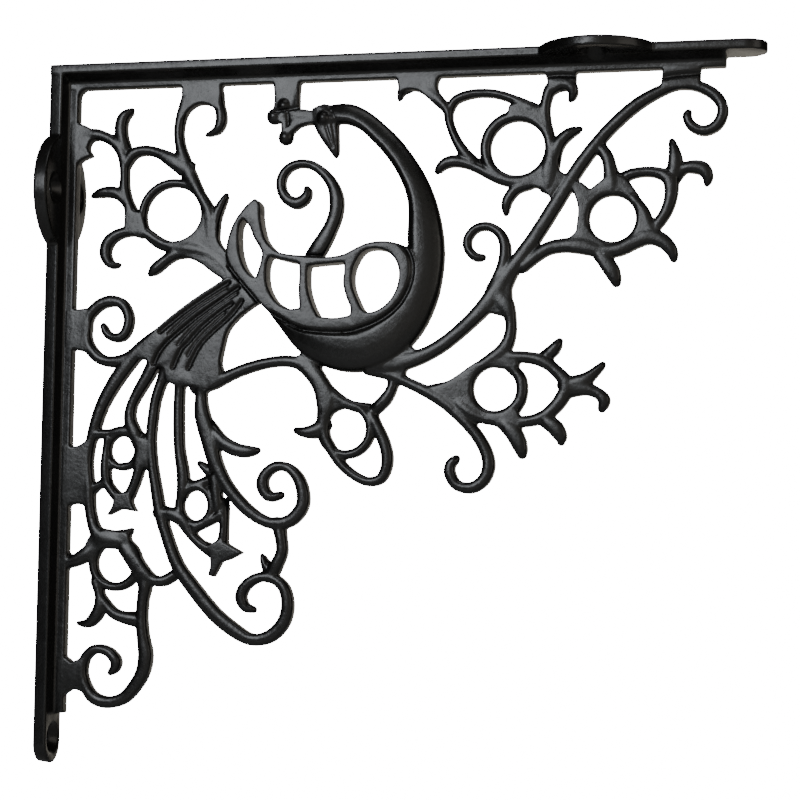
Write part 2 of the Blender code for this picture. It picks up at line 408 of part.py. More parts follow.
def mesh_from_curve(collection, name, curve, matrix):
    """The curve made a closed mesh, with its depth direction turned from local Z to world -Y."""
    holder = bpy.data.objects.new(name, curve)
    collection.objects.link(holder)
    holder.matrix_world = matrix
    graph = bpy.context.evaluated_depsgraph_get()
    mesh = bpy.data.meshes.new_from_object(holder.evaluated_get(graph))
    mesh.transform(matrix)
    bpy.data.objects.remove(holder)
    bpy.data.curves.remove(curve)
    edit = bmesh.new()
    edit.from_mesh(mesh)
    bmesh.ops.remove_doubles(edit, verts=edit.verts, dist=0.01 * MM)
    bmesh.ops.recalc_face_normals(edit, faces=edit.faces)
    edit.to_mesh(mesh)
    edit.free()
    result = bpy.data.objects.new(name, mesh)
    collection.objects.link(result)
    return result


def drawing_matrix(depth_scale=1.0, y=0.0):
    """Curve space, where x and -drop are millimetres, to the world's XZ plane."""
    place = Matrix.Translation((0.0, y * MM, ORIGIN_DROP * MM))
    turn = Matrix(((1, 0, 0, 0), (0, 0, -1, 0), (0, 1, 0, 0), (0, 0, 0, 1)))
    size = Matrix.Diagonal((MM, MM, MM * depth_scale, 1.0))
    return place @ turn @ size


def bar(collection, name, points, depth_ratio=BAR_DEPTH_RATIO, limit=BAR_HALF_DEPTH, closed=False):
    """A tapering bar with flat sides and a ridge front and back, its depth levelling off at the limit."""
    curve = bpy.data.curves.new(name, "CURVE")
    curve.dimensions = "3D"
    curve.twist_mode = "Z_UP"
    curve.bevel_depth = 1.0
    curve.bevel_resolution = 1
    curve.use_fill_caps = True
    spline = curve.splines.new("POLY")
    path = points if closed else smooth(points)
    spline.points.add(len(path) - 1)
    spline.use_cyclic_u = closed
    for target, (x, drop, width) in zip(spline.points, path):
        target.co = (x, -drop, 0.0, 1.0)
        target.radius = width / 2 / cos(radians(SECTION_TILT))
        target.tilt = radians(SECTION_TILT)
    result = mesh_from_curve(collection, name, curve, drawing_matrix(depth_ratio))
    for vert in result.data.vertices:
        vert.co.y = limit * MM * tanh(vert.co.y / (limit * MM))
    return result


def ring(collection, name, x, drop, hole, width, tall):
    middle = hole + width / 2
    points = []
    for i in range(RING_SIDES):
        angle = radians(360.0 * (i + 0.5) / RING_SIDES)
        points.append((x + middle * cos(angle), drop + (hole * tall + width / 2) * sin(angle), width))
    return bar(collection, name, points, closed=True)


def plate(collection, name, outline, front, back, openings=()):
    """A flat piece cut to the outline, from front to back of the web's middle plane."""
    curve = bpy.data.curves.new(name, "CURVE")
    curve.dimensions = "2D"
    curve.fill_mode = "BOTH"
    curve.extrude = (front + back) / 2
    for loop in [outline, *openings]:
        spline = curve.splines.new("POLY")
        spline.points.add(len(loop) - 1)
        spline.use_cyclic_u = True
        for target, (x, drop) in zip(spline.points, loop):
            target.co = (x, -drop, 0.0, 1.0)
    return mesh_from_curve(collection, name, curve, drawing_matrix(y=(back - front) / 2))


def box(collection, name, low, high):
    """A box between two (x, drop, y) corners."""
    edit = bmesh.new()
    bmesh.ops.create_cube(edit, size=1.0)
    a = world(low[0], low[1], low[2])
    b = world(high[0], high[1], high[2])
    for vert in edit.verts:
        vert.co = [(a[k] + b[k]) / 2 + vert.co[k] * abs(b[k] - a[k]) for k in range(3)]
    return finish(collection, name, edit)


def finish(collection, name, edit):
    mesh = bpy.data.meshes.new(name)
    bmesh.ops.recalc_face_normals(edit, faces=edit.faces)
    edit.to_mesh(mesh)
    edit.free()
    item = bpy.data.objects.new(name, mesh)
    collection.objects.link(item)
    return item


def disc(collection, name, centre, axis, radii, length, sides=LUG_SIDES):
    """A cone or cylinder from centre along the X or Z axis; a negative length runs the other way."""
    edit = bmesh.new()
    bmesh.ops.create_cone(edit, cap_ends=True, segments=sides, radius1=radii[0] * MM,
                          radius2=radii[1] * MM, depth=abs(length) * MM)
    bmesh.ops.translate(edit, verts=edit.verts, vec=(0, 0, abs(length) * MM / 2))
    if length < 0:
        bmesh.ops.rotate(edit, verts=edit.verts, matrix=Matrix.Rotation(radians(180), 3, "X"))
    if axis == "X":
        bmesh.ops.rotate(edit, verts=edit.verts, matrix=Matrix.Rotation(radians(90), 3, "Y"))
    bmesh.ops.translate(edit, verts=edit.verts, vec=world(*centre))
    return finish(collection, name, edit)


def knob(collection, name, x, drop, radius, y=0.0):
    edit = bmesh.new()
    bmesh.ops.create_uvsphere(edit, u_segments=8, v_segments=5, radius=radius * MM)
    bmesh.ops.rotate(edit, verts=edit.verts, matrix=Matrix.Rotation(radians(90), 3, "X"))
    bmesh.ops.translate(edit, verts=edit.verts, vec=world(x, drop, y))
    return finish(collection, name, edit)


def flange_outline(length, tab_radius):
    """Half outline of a flange seen flat on: straight sides and a round end."""
    half = FLANGE_WIDTH / 2
    points = [(0.0, -half), (length - tab_radius, -half)]
    for i in range(1, 8):
        angle = radians(-90.0 + 180.0 * i / 8)
        points.append((length - tab_radius + tab_radius * cos(angle), half * sin(angle)))
    points += [(length - tab_radius, half), (0.0, half)]
    return points


def flange(collection, name, length, thickness, upright):
    """A flange bar with a round end, flat on the wall or flat under the shelf."""
    edit = bmesh.new()
    verts = []
    for along, across in flange_outline(length, FLANGE_WIDTH / 2):
        if upright:
            verts.append(edit.verts.new(world(0.0, along, across)))
        else:
            verts.append(edit.verts.new(world(along, 0.0, across)))
    face = edit.faces.new(verts)
    step = (thickness * MM, 0, 0) if upright else (0, 0, -thickness * MM)
    moved = bmesh.ops.extrude_face_region(edit, geom=[face])["geom"]
    moved = [item for item in moved if isinstance(item, bmesh.types.BMVert)]
    bmesh.ops.translate(edit, verts=moved, vec=step)
    return finish(collection, name, edit)


def slope(collection, name, low, high, axis):
    """A flange's slope up to the web: a box narrowed to the web on its face away from the flange."""
    item = box(collection, name, low, high)
    along = [vert.co[axis] for vert in item.data.vertices]
    middle = (min(along) + max(along)) / 2
    away = 1 if axis == 0 else -1
    for vert in item.data.vertices:
        if (vert.co[axis] - middle) * away > 0:
            vert.co.y *= 0.95 * WEB_THICKNESS / FLANGE_WIDTH
    return item


def frame_parts(collection):
    half_web = WEB_THICKNESS / 2
    half_flange = FLANGE_WIDTH / 2 - 0.1
    lug_wall = (0.0, WALL_LUG_DROP, 0.0)
    lug_shelf = (SHELF_LUG_X, 0.0, 0.0)
    return [
        flange(collection, "wall_flange", HEIGHT, WALL_FLANGE, True),
        flange(collection, "shelf_flange", REACH, SHELF_FLANGE, False),
        box(collection, "wall_web", (1.0, 1.0, -half_web), (WALL_WEB_DEPTH, WALL_WEB_END, half_web)),
        box(collection, "shelf_web", (1.0, 1.0, -half_web), (SHELF_WEB_END, SHELF_WEB_DEPTH, half_web)),
        slope(collection, "wall_slope", (WALL_FLANGE - 0.2, 2.0, -half_flange),
              (WALL_FLANGE_AT_WEB, WALL_WEB_END, half_flange), 0),
        slope(collection, "shelf_slope", (2.0, SHELF_FLANGE - 0.2, -half_flange),
              (SHELF_WEB_END, SHELF_FLANGE_AT_WEB, half_flange), 2),
        disc(collection, "wall_lug", lug_wall, "X", (LUG_RADIUS, LUG_RADIUS), WALL_FLANGE),
        disc(collection, "shelf_lug", lug_shelf, "Z", (LUG_RADIUS, LUG_RADIUS), -SHELF_FLANGE),
    ]


def screw_cutters(collection):
    """A through hole and its countersink, the wide end on the face away from the wall or shelf."""
    cutters = []
    wall_holes = [(WALL_LUG_DROP, -HOLE_OFFSET), (WALL_LUG_DROP, HOLE_OFFSET), (END_HOLE_DROP, 0.0)]
    for number, (drop, y) in enumerate(wall_holes):
        cutters += [
            disc(collection, f"wall_hole_{number}", (-1.0, drop, y), "X", (HOLE_RADIUS, HOLE_RADIUS), 8,
                 HOLE_SIDES),
            disc(collection, f"wall_sink_{number}", (WALL_FLANGE - SINK_DEPTH, drop, y), "X",
                 (HOLE_RADIUS, 2 * SINK_RADIUS - HOLE_RADIUS), 2 * SINK_DEPTH, HOLE_SIDES),
        ]
    for number, y in enumerate((-HOLE_OFFSET, HOLE_OFFSET)):
        cutters += [
            disc(collection, f"shelf_hole_{number}", (SHELF_LUG_X, -1.0, y), "Z",
                 (HOLE_RADIUS, HOLE_RADIUS), -8, HOLE_SIDES),
            disc(collection, f"shelf_sink_{number}", (SHELF_LUG_X, SHELF_FLANGE - SINK_DEPTH, y), "Z",
                 (HOLE_RADIUS, 2 * SINK_RADIUS - HOLE_RADIUS), -2 * SINK_DEPTH, HOLE_SIDES),
        ]
    as_tools(cutters)


def fret_parts(collection):
    parts = []
    for group in (STEM, BEAK, UPPER_LEFT, LEFT_SCROLL, FEATHERS, FEATHER_EYES, LOWEST, LOW_MIDDLE,
                  BACK_SCROLL, TOP_MIDDLE, RIGHT, LOWER_RIGHT, UNDER_BODY, TAIL_RIDGES):
        parts += [bar(collection, name, points) for name, points in group.items()]
    parts += [bar(collection, name, points, BODY_DEPTH_RATIO, BODY_HALF_DEPTH)
              for name, points in BIRD.items()]
    parts += [ring(collection, name, *values) for name, values in RINGS.items()]
    parts += [knob(collection, f"knob_{i}", *values) for i, values in enumerate(CREST_KNOBS)]
    for group in (FISH_TAILS, WEBS):
        parts += [plate(collection, name, points, PLATE_HALF_DEPTH, PLATE_HALF_DEPTH)
                  for name, points in group.items()]
    parts.append(plate(collection, "crest_post", CREST_POST, POST_FRONT, POST_BACK))
    parts.append(plate(collection, "tail_fan", TAIL_FAN, FAN_HALF_DEPTH, FAN_HALF_DEPTH))
    parts.append(plate(collection, "wing", WING_EDGE, WING_FRONT, WING_BACK, WING_OPENINGS.values()))
    return parts


def as_tools(items):
    """Pieces that only shape the casting, kept out of the render."""
    for item in items:
        item.hide_render = True
        item.display_type = "WIRE"


def fretwork(collection, pieces):
    """All the drawn pieces as one closed skin, with the small fillets a casting has at its joints."""
    edit = bmesh.new()
    for piece in pieces:
        edit.from_mesh(piece.data)
        bpy.data.objects.remove(piece)
    item = finish(collection, "fretwork", edit)
    remesh = item.modifiers.new("one_skin", "REMESH")
    remesh.mode = "VOXEL"
    remesh.voxel_size = SKIN_GRAIN * MM
    soften = item.modifiers.new("soften", "SMOOTH")
    soften.factor = 0.5
    soften.iterations = 2
    thin = item.modifiers.new("thin", "DECIMATE")
    thin.ratio = SKIN_SHARE_KEPT
    graph = bpy.context.evaluated_depsgraph_get()
    item.data = bpy.data.meshes.new_from_object(item.evaluated_get(graph))
    item.modifiers.clear()
    return item


def unite(casting, pieces, cutters):
    """One casting: the union of all the pieces, with the screw holes cut through it."""
    casting.name = NAME
    overlapping = make_collection("overlapping")
    for piece in pieces:
        piece.users_collection[0].objects.unlink(piece)
        overlapping.objects.link(piece)
    as_tools(pieces)
    boolean(casting, overlapping, "UNION")
    boolean(casting, cutters, "DIFFERENCE")


def boolean(target, collection, operation):
    modifier = target.modifiers.new(operation.lower(), "BOOLEAN")
    modifier.operation = operation
    modifier.operand_type = "COLLECTION"
    modifier.collection = collection
    modifier.solver = "EXACT"


def main():
    remove_everything()
    parts = make_collection("shelf_bracket")
    tools = make_collection("cutters")
    casting = fretwork(parts, fret_parts(parts))
    screw_cutters(tools)
    unite(casting, frame_parts(parts), tools)
    casting.data.materials.append(iron())


main()
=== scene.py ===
# A cast iron shelf bracket with a peacock in its fretwork, in black stove enamel.
# The wall is x = 0, and the shelf lies on the arm's top face, where the drop is 0.
# The drawing is in millimetres: x out from the wall, then the drop below the shelf, then a bar's width.
import bpy
import bmesh
import numpy as np
from math import cos, sin, radians, atan2, degrees
from mathutils import Matrix, Vector

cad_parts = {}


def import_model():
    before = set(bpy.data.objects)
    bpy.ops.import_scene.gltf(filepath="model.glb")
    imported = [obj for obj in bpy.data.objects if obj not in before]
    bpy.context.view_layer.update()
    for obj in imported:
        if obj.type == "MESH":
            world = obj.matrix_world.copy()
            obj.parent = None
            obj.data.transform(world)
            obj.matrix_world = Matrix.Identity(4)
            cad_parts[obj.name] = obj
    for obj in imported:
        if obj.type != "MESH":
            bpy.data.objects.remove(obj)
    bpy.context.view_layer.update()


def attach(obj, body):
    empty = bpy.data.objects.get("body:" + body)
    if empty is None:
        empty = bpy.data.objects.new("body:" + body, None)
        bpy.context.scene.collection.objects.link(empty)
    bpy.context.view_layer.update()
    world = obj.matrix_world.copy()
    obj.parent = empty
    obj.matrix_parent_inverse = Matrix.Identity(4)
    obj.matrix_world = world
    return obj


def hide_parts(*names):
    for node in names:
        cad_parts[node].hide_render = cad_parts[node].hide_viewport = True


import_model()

mm = 0.001
originDrop = 41.0   # the origin is level with the wall lug's screws


def world(x, drop, y=0.0):
    return Vector((x * mm, y * mm, (originDrop - drop) * mm))


def makeCollection(name):
    collection = bpy.data.collections.new(name)
    bpy.context.scene.collection.children.link(collection)
    return collection


workshop = makeCollection("workshop")


def addMesh(name, edit):
    mesh = bpy.data.meshes.new(name)
    bmesh.ops.recalc_face_normals(edit, faces=edit.faces)
    edit.to_mesh(mesh)
    edit.free()
    item = bpy.data.objects.new(name, mesh)
    workshop.objects.link(item)
    return item


# The two arms: flanges, the web between them, lugs and screw holes
arms = {
    "reach": 230.0, "height": 225.0, "flangeWidth": 13.4,
    "wallFlange": 4.3, "shelfFlange": 3.1,
    "wallFlangeAtWeb": 5.1, "shelfFlangeAtWeb": 5.4,      # each flange slopes up to the web
    "webThickness": 4.4, "wallWebDepth": 8.15, "shelfWebDepth": 7.4,
    "wallWebEnd": 209.0, "shelfWebEnd": 217.5, "webStart": 1.0,
    "draft": 0.92, "webDraft": 0.7,                       # how narrow flange and web are at the wall
    "slopeStart": 2.0, "slopeInset": 0.1, "slopeShare": 0.96,
    "tuck": 0.3,                                          # how far a slope runs into its flange
    "lugRadius": 18.7, "wallLugDrop": 41.0, "shelfLugX": 178.0,
    "holeOffset": 10.0, "holeRadius": 2.6, "holeLength": 8.0, "endHoleDrop": 217.0,
    "sinkRadius": 5.1, "sinkDepth": 2.5, "roundSides": 96, "holeSides": 64,
}


def box(name, low, high, narrowed=None, share=1.0):
    # a box between two (x, drop, y) corners; narrowed names the axis whose inner face is drawn in
    edit = bmesh.new()
    bmesh.ops.create_cube(edit, size=1.0)
    a = world(*low)
    b = world(*high)
    inward = {"x": Vector((1, 0, 0)), "z": Vector((0, 0, -1))}.get(narrowed)
    for vert in edit.verts:
        if inward and vert.co.dot(inward) > 0:
            vert.co.y *= share
    bmesh.ops.scale(edit, vec=[abs(b[k] - a[k]) for k in range(3)], verts=edit.verts)
    bmesh.ops.translate(edit, vec=(a + b) / 2, verts=edit.verts)
    return addMesh(name, edit)


def roundPiece(name, centre, axis, radii, length, sides=arms["roundSides"]):
    # a cylinder or cone from its centre along +X, or down along -Z
    edit = bmesh.new()
    bmesh.ops.create_cone(edit, cap_ends=True, segments=sides, radius1=radii[0] * mm,
                          radius2=radii[1] * mm, depth=length * mm)
    bmesh.ops.translate(edit, verts=edit.verts, vec=(0, 0, length * mm / 2))
    turn = Matrix.Rotation(radians(90), 3, "Y") if axis == "x" else Matrix.Rotation(radians(180), 3, "X")
    bmesh.ops.rotate(edit, verts=edit.verts, matrix=turn)
    bmesh.ops.translate(edit, verts=edit.verts, vec=world(*centre))
    return addMesh(name, edit)


def screwHole(name, centre, axis, flangeDepth):
    # a hole right through and its countersink, wide on the side away from the wall or the shelf
    s = arms
    step = Vector((1, 0)) if axis == "x" else Vector((0, 1))
    start = Vector(centre[:2]) - step
    sink = Vector(centre[:2]) + step * (flangeDepth - s["sinkDepth"])
    wide = 2 * s["sinkRadius"] - s["holeRadius"]
    return [
        roundPiece(name + "Hole", (*start, centre[2]), axis, (s["holeRadius"], s["holeRadius"]),
                   s["holeLength"], s["holeSides"]),
        roundPiece(name + "Sink", (*sink, centre[2]), axis, (s["holeRadius"], wide),
                   2 * s["sinkDepth"], s["holeSides"]),
    ]


def armPieces():
    s = arms
    half = s["flangeWidth"] / 2
    halfAtWall = half * s["draft"]
    halfWeb = s["webThickness"] / 2
    halfWebAtWall = halfWeb * s["webDraft"]
    halfSlope = half - s["slopeInset"]
    narrow = s["slopeShare"] * s["webThickness"] / s["flangeWidth"]
    lug = (s["lugRadius"], s["lugRadius"])
    return [
        box("wallFlange", (0, 0, -halfAtWall), (s["wallFlange"], s["height"] - half, halfAtWall),
            "x", 1 / s["draft"]),
        box("shelfFlange", (0, 0, -half), (s["reach"] - half, s["shelfFlange"], half)),
        roundPiece("wallEnd", (0, s["height"] - half, 0), "x", (halfAtWall, half), s["wallFlange"]),
        roundPiece("shelfEnd", (s["reach"] - half, 0, 0), "z", (half, half), s["shelfFlange"]),
        box("wallWeb", (s["webStart"], s["webStart"], -halfWebAtWall),
            (s["wallWebDepth"], s["wallWebEnd"], halfWebAtWall), "x", 1 / s["webDraft"]),
        box("shelfWeb", (s["webStart"], s["webStart"], -halfWeb),
            (s["shelfWebEnd"], s["shelfWebDepth"], halfWeb)),
        box("wallSlope", (s["wallFlange"] - s["tuck"], s["slopeStart"], -halfSlope),
            (s["wallFlangeAtWeb"], s["wallWebEnd"], halfSlope), "x", narrow),
        box("shelfSlope", (s["slopeStart"], s["shelfFlange"] - s["tuck"], -halfSlope),
            (s["shelfWebEnd"], s["shelfFlangeAtWeb"], halfSlope), "z", narrow),
        roundPiece("wallLug", (0, s["wallLugDrop"], 0), "x", lug, s["wallFlange"]),
        roundPiece("shelfLug", (s["shelfLugX"], 0, 0), "z", lug, s["shelfFlange"]),
    ]


def armHoles():
    s = arms
    holes = []
    for side in (-1, 1):
        y = side * s["holeOffset"]
        holes += screwHole("wallLug", (0, s["wallLugDrop"], y), "x", s["wallFlange"])
        holes += screwHole("shelfLug", (s["shelfLugX"], 0, y), "z", s["shelfFlange"])
    holes += screwHole("wallEnd", (0, s["endHoleDrop"], 0), "x", s["wallFlange"])
    return holes


def bake(item):
    # the modifiers' result becomes the mesh
    graph = bpy.context.evaluated_depsgraph_get()
    item.data = bpy.data.meshes.new_from_object(item.evaluated_get(graph))
    item.modifiers.clear()
    return item


def cutAndJoin(pieces, holes):
    first = pieces[0]
    groups = {"UNION": makeCollection("joined"), "DIFFERENCE": makeCollection("cut")}
    for operation, items in (("UNION", pieces[1:]), ("DIFFERENCE", holes)):
        for item in items:
            workshop.objects.unlink(item)
            groups[operation].objects.link(item)
        cut = first.modifiers.new(operation.lower(), "BOOLEAN")
        cut.operation = operation
        cut.operand_type = "COLLECTION"
        cut.collection = groups[operation]
        cut.solver = "EXACT"
    bake(first)
    for item in pieces[1:] + holes:
        bpy.data.objects.remove(item)
    for group in groups.values():
        bpy.data.collections.remove(group)
    return first


armBody = cutAndJoin(armPieces(), armHoles())
print("arms:", len(armBody.data.polygons), "faces")

# The long stem, from the body up to the shelf arm, ending in a scroll
stem = {
    "stem": [(106, 98, 4.6), (112, 98, 5.2), (117, 97.3, 5.0), (121.6, 96.1, 4.4), (126, 94.3, 3.9),
             (131, 91.2, 3.8), (136, 87.1, 3.8), (141.3, 82.1, 4.2), (145.8, 76.7, 4.8), (150.6, 69.6, 4.2),
             (158, 59.8, 4.0), (165.6, 47.8, 3.9), (172.2, 37.2, 3.7), (180.3, 26.9, 3.4),
             (190.1, 18.1, 3.4), (200, 13, 2.8), (206, 12.4, 2.7), (211, 13.9, 2.9), (215, 17, 3.1),
             (216.4, 21, 3.0), (214.6, 25.2, 2.9), (210.6, 26.9, 2.6), (206.9, 25.2, 2.6),
             (205.5, 22.5, 2.5), (205.9, 21.1, 1.9)],
    "stemCurl": [(144.5, 76.5, 3.0), (148.2, 69, 3.2), (149.4, 63.5, 3.2), (148.9, 59.6, 2.9),
                 (147, 56.7, 2.6), (143.6, 55.0, 2.3), (140, 55.7, 2.2), (137.6, 58.5, 2.3),
                 (137.5, 61.7, 2.3), (139.7, 64.4, 2.4), (142.3, 64.8, 1.9)],
    "stemBranch": [(146, 75, 4.6), (149.5, 79.5, 5.0), (151.3, 84.5, 3.1), (151.2, 89, 3.2),
                   (149.4, 93.4, 3.8), (145, 96.8, 3.3), (139.5, 100.3, 2.7), (133.5, 104.2, 2.4),
                   (126, 106, 2.6)],
}

# The peacock: head, neck and body in one tapering sweep, then its crest
bird = {
    "body": [(87.5, 19, 3.2), (91, 18.8, 6.0), (95.5, 18, 6.2), (99.6, 18.4, 6.2), (104.2, 20.7, 5.9),
             (108.3, 24.3, 6.1), (112.4, 28.4, 6.4), (116.5, 33.7, 6.6), (119.9, 39.5, 7.2),
             (122.2, 45.2, 8.0), (123.4, 51, 9.4), (123.9, 57, 10.8), (124.3, 63, 11.1),
             (123.8, 69.5, 11.2), (121.8, 76.4, 12.2), (117.4, 84.4, 13.3), (110.4, 90.6, 14.2),
             (102, 93.3, 13.8), (93.6, 91.9, 13.2), (86.2, 88.8, 10.4), (79.2, 83.3, 6.2),
             (73.4, 78.3, 3.6)],
}
beak = {
    "beak": [(90.2, 18.5, 7.4), (92, 23.5, 6.2), (93.6, 28, 3.6), (94.7, 31.4, 1.4)],
    "crestUpper": [(87.5, 18.9, 3.0), (82, 18.4, 3.2), (76, 18.2, 3.6)],
    "crestLower": [(87, 19.4, 2.4), (82, 20.4, 2.6), (78.4, 22.8, 2.4), (78.1, 25, 2.4)],
}
crestKnobs = [(74.2, 18.2, 2.7), (78.1, 25.1, 2.6)]

# Bars about the ring at the upper left, between the wall arm and the tail
upperLeft = {
    "link": [(9, 23.6, 4.0), (13.2, 22.2, 3.4), (17, 23, 3.0), (21.1, 25.6, 3.2), (23.6, 29.9, 3.0),
             (24.1, 36, 2.3), (24.2, 40.5, 2.8), (25.6, 45.2, 2.9), (28.2, 51.5, 4.4)],
    "hookUp": [(24.8, 29, 3.6), (23.1, 24.5, 3.4), (22.5, 20, 3.4), (23.5, 16.6, 3.0), (26, 14.7, 1.6)],
    "hookOut": [(27, 50, 3.4), (25.3, 45.3, 2.7), (22, 41.9, 3.4), (18.5, 41.2, 3.1), (15.6, 41.6, 2.4),
                (13.2, 42.5, 1.0)],
    "top": [(24.3, 32.5, 2.8), (26.8, 29, 3.0), (31, 27.9, 2.7), (35.5, 28.9, 3.0), (40, 31.3, 4.4),
            (45.5, 34.6, 6.0)],
    "right": [(45.4, 10, 4.2), (43.5, 15.4, 3.0), (42.3, 20.4, 2.6), (42.5, 25.4, 2.6), (44.1, 31, 3.3),
              (46.4, 36.8, 4.0), (49.7, 42.6, 2.8), (53, 48.6, 3.6), (53.4, 55, 3.2), (53.6, 60, 2.8)],
    "rightHook": [(54.6, 57, 3.2), (55, 52, 3.0), (56.1, 48, 2.8), (58.6, 43.3, 1.4)],
    "hangerCurl": [(53.6, 9, 5.0), (55.3, 13, 3.0), (56.3, 16.7, 2.9), (56.3, 19.5, 2.9), (55, 22, 2.2),
                   (51.6, 23.5, 0.9)],
    "lower": [(23, 65.1, 1.2), (20.2, 64.9, 2.3), (18.4, 62.4, 3.0), (18.3, 59.5, 3.2), (19.9, 56.7, 3.2),
              (23, 54.9, 2.9), (27, 54.2, 2.8), (31.5, 54.8, 3.2), (36, 57.6, 2.9), (41, 59.6, 3.0),
              (47, 60.2, 4.2), (53, 62, 3.2), (58, 65.8, 3.0), (62.6, 71, 3.0)],
    "lowerHook": [(46, 61.5, 3.2), (42, 61.9, 3.4), (38.6, 64, 3.0), (35.6, 66.4, 3.2), (33.7, 68.1, 1.8)],
}

# The scroll that leaves the wall arm and runs on into the tail
leftScroll = {
    "scroll": [(18.1, 84.8, 1.7), (19.4, 87.4, 2.1), (22.2, 88.8, 2.4), (25.2, 87.8, 2.7),
               (26.7, 84.3, 2.7), (26.3, 80.7, 2.8), (24, 77.6, 3.0), (20.3, 76.8, 3.2), (16.4, 78.2, 3.1),
               (13.2, 81.6, 3.0), (12.2, 86, 3.0), (12.9, 90.4, 3.0), (15.5, 94.2, 3.2), (19, 96.2, 3.1),
               (23, 96.4, 3.2), (27.4, 95.2, 3.6), (32, 91.5, 4.0)],
}

# The tail's long feathers, each one bar, three of them ending in scrolls
feathers = {
    "feather1": [(46, 81.7, 2.6), (38.5, 86.8, 3.4), (31, 92.5, 4.0), (24.7, 100, 4.2), (21.3, 105.2, 3.9),
                 (18.3, 110.8, 3.5), (16.4, 116.4, 3.3), (14.7, 123, 2.6), (14.1, 130, 2.4),
                 (14.6, 137, 3.2), (15.1, 143.5, 2.9), (16.8, 150, 3.3), (20, 153.4, 5.0),
                 (26, 154.2, 4.6)],
    "feather2": [(50, 83.4, 2.4), (43, 89.4, 3.4), (36.8, 95.4, 3.8), (33.4, 101.5, 3.5), (30.7, 106, 3.1),
                 (28.5, 110.4, 2.8), (27.9, 115, 3.2), (29.6, 119.4, 3.8), (31.6, 124, 4.2)],
    "feather3": [(54, 84.6, 2.4), (46.6, 91.2, 3.4), (40.6, 97.6, 3.4), (38.3, 103, 2.9), (36.4, 109, 2.8),
                 (35.6, 115, 2.8), (35.1, 122, 2.8), (35.9, 130, 2.8), (37.4, 138, 3.1), (38.9, 145.5, 3.3),
                 (41.4, 153, 3.2), (45, 161.6, 3.6), (50.5, 168.8, 4.0), (57.2, 176.4, 4.1),
                 (63.9, 181.6, 4.0), (69.8, 184.5, 3.4), (75.6, 183.5, 3.7), (79.9, 179.4, 3.6),
                 (81.4, 174, 3.4), (80.2, 168.4, 3.1), (76.4, 165.3, 2.8), (71.7, 165.1, 2.8),
                 (67.7, 167.6, 3.0), (66.1, 171.2, 3.1), (67.6, 174.4, 2.6), (70.4, 175.2, 1.8)],
    "feather4": [(57.4, 85, 2.4), (50, 92, 3.2), (45.6, 98.6, 3.1), (44.4, 105, 2.8), (44.3, 116, 2.9),
                 (44.8, 125, 2.9), (46.2, 133, 3.4), (46, 140, 3.0)],
    "feather5": [(57.4, 86.6, 2.2), (55, 93, 3.6), (52.4, 100, 4.8), (51.6, 107, 3.2), (52.2, 114, 4.4),
                 (54.5, 121, 4.8), (56.6, 128.4, 4.1), (60.6, 136, 3.5), (66.4, 142.7, 3.5),
                 (72, 146.7, 3.2), (77, 148.1, 3.3), (82, 146.9, 3.6), (85.4, 143, 3.6), (85.8, 138.6, 3.5),
                 (84.2, 133.9, 3.2), (80.9, 130.6, 2.7), (76.7, 130.1, 2.7), (73.2, 132.8, 3.0),
                 (72.5, 136.4, 3.3), (74.8, 139.6, 2.9), (78.6, 139.1, 2.0)],
    "leaf": [(54.5, 117, 3.6), (58.4, 121.9, 3.9), (63, 124.6, 4.0), (67, 125.3, 3.6), (70.6, 125, 1.8)],
    "feather1Link": [(15.8, 119.8, 3.0), (21, 119.6, 2.3), (26, 118.9, 3.0), (31, 120.6, 3.4)],
}

# Bars about the two feather eyes: eye A by the wall arm, eye B in the middle of the tail
featherEyes = {
    "aLeft": [(20.9, 121, 2.4), (20.2, 126, 2.3), (20, 131, 2.8), (20.7, 135.4, 2.6), (23.2, 139, 2.8),
              (25.6, 141.6, 3.6)],
    "aFloor": [(20.4, 130, 1.8), (26, 130, 1.5), (32.5, 129.4, 2.6)],
    "aRight": [(31.8, 129, 3.0), (30.8, 133.4, 2.8), (29.2, 137.6, 2.8), (26.8, 141.6, 3.6)],
    "aLink": [(13.4, 139, 4.4), (17.2, 136.5, 2.3), (21, 135.2, 2.6)],
    "aFill": [(32.6, 121, 2.8), (33, 126, 3.0), (33.4, 130, 2.6)],
    "bTop": [(46.4, 135.6, 3.3), (50.5, 136, 2.6), (55, 134.4, 3.4)],
    "bBarb": [(56.4, 133.2, 3.6), (51.6, 129.2, 1.6)],
    "bLink": [(38.6, 145, 4.0), (42.4, 145.3, 3.8), (46.3, 147.3, 3.9), (49.1, 151.5, 2.7),
              (52.9, 155.1, 2.8), (57.4, 157.6, 4.6)],
    "bFill": [(56.6, 133, 3.0), (57.4, 139, 3.2), (58, 144, 2.8)],
    "bRight": [(59.6, 141.6, 3.2), (60, 147, 2.5), (59.9, 152, 2.5), (58.8, 157, 4.4)],
    "bFloor": [(50, 149.6, 3.0), (55, 147.6, 2.4), (59.6, 145, 2.8)],
}
fishTails = {
    "aTail": [(23.2, 139), (28.8, 138.6), (29.4, 142), (30.8, 144.5), (26.2, 143.8), (24.3, 144.4),
              (21.6, 145.7), (23.4, 142.4)],
    "bTail": [(55, 155.4), (59, 153.4), (61.6, 154.8), (66.3, 157.3), (62.4, 159.3), (59.7, 160.1),
              (57.1, 164.9), (55.7, 164.4), (56.4, 160.6)],
}

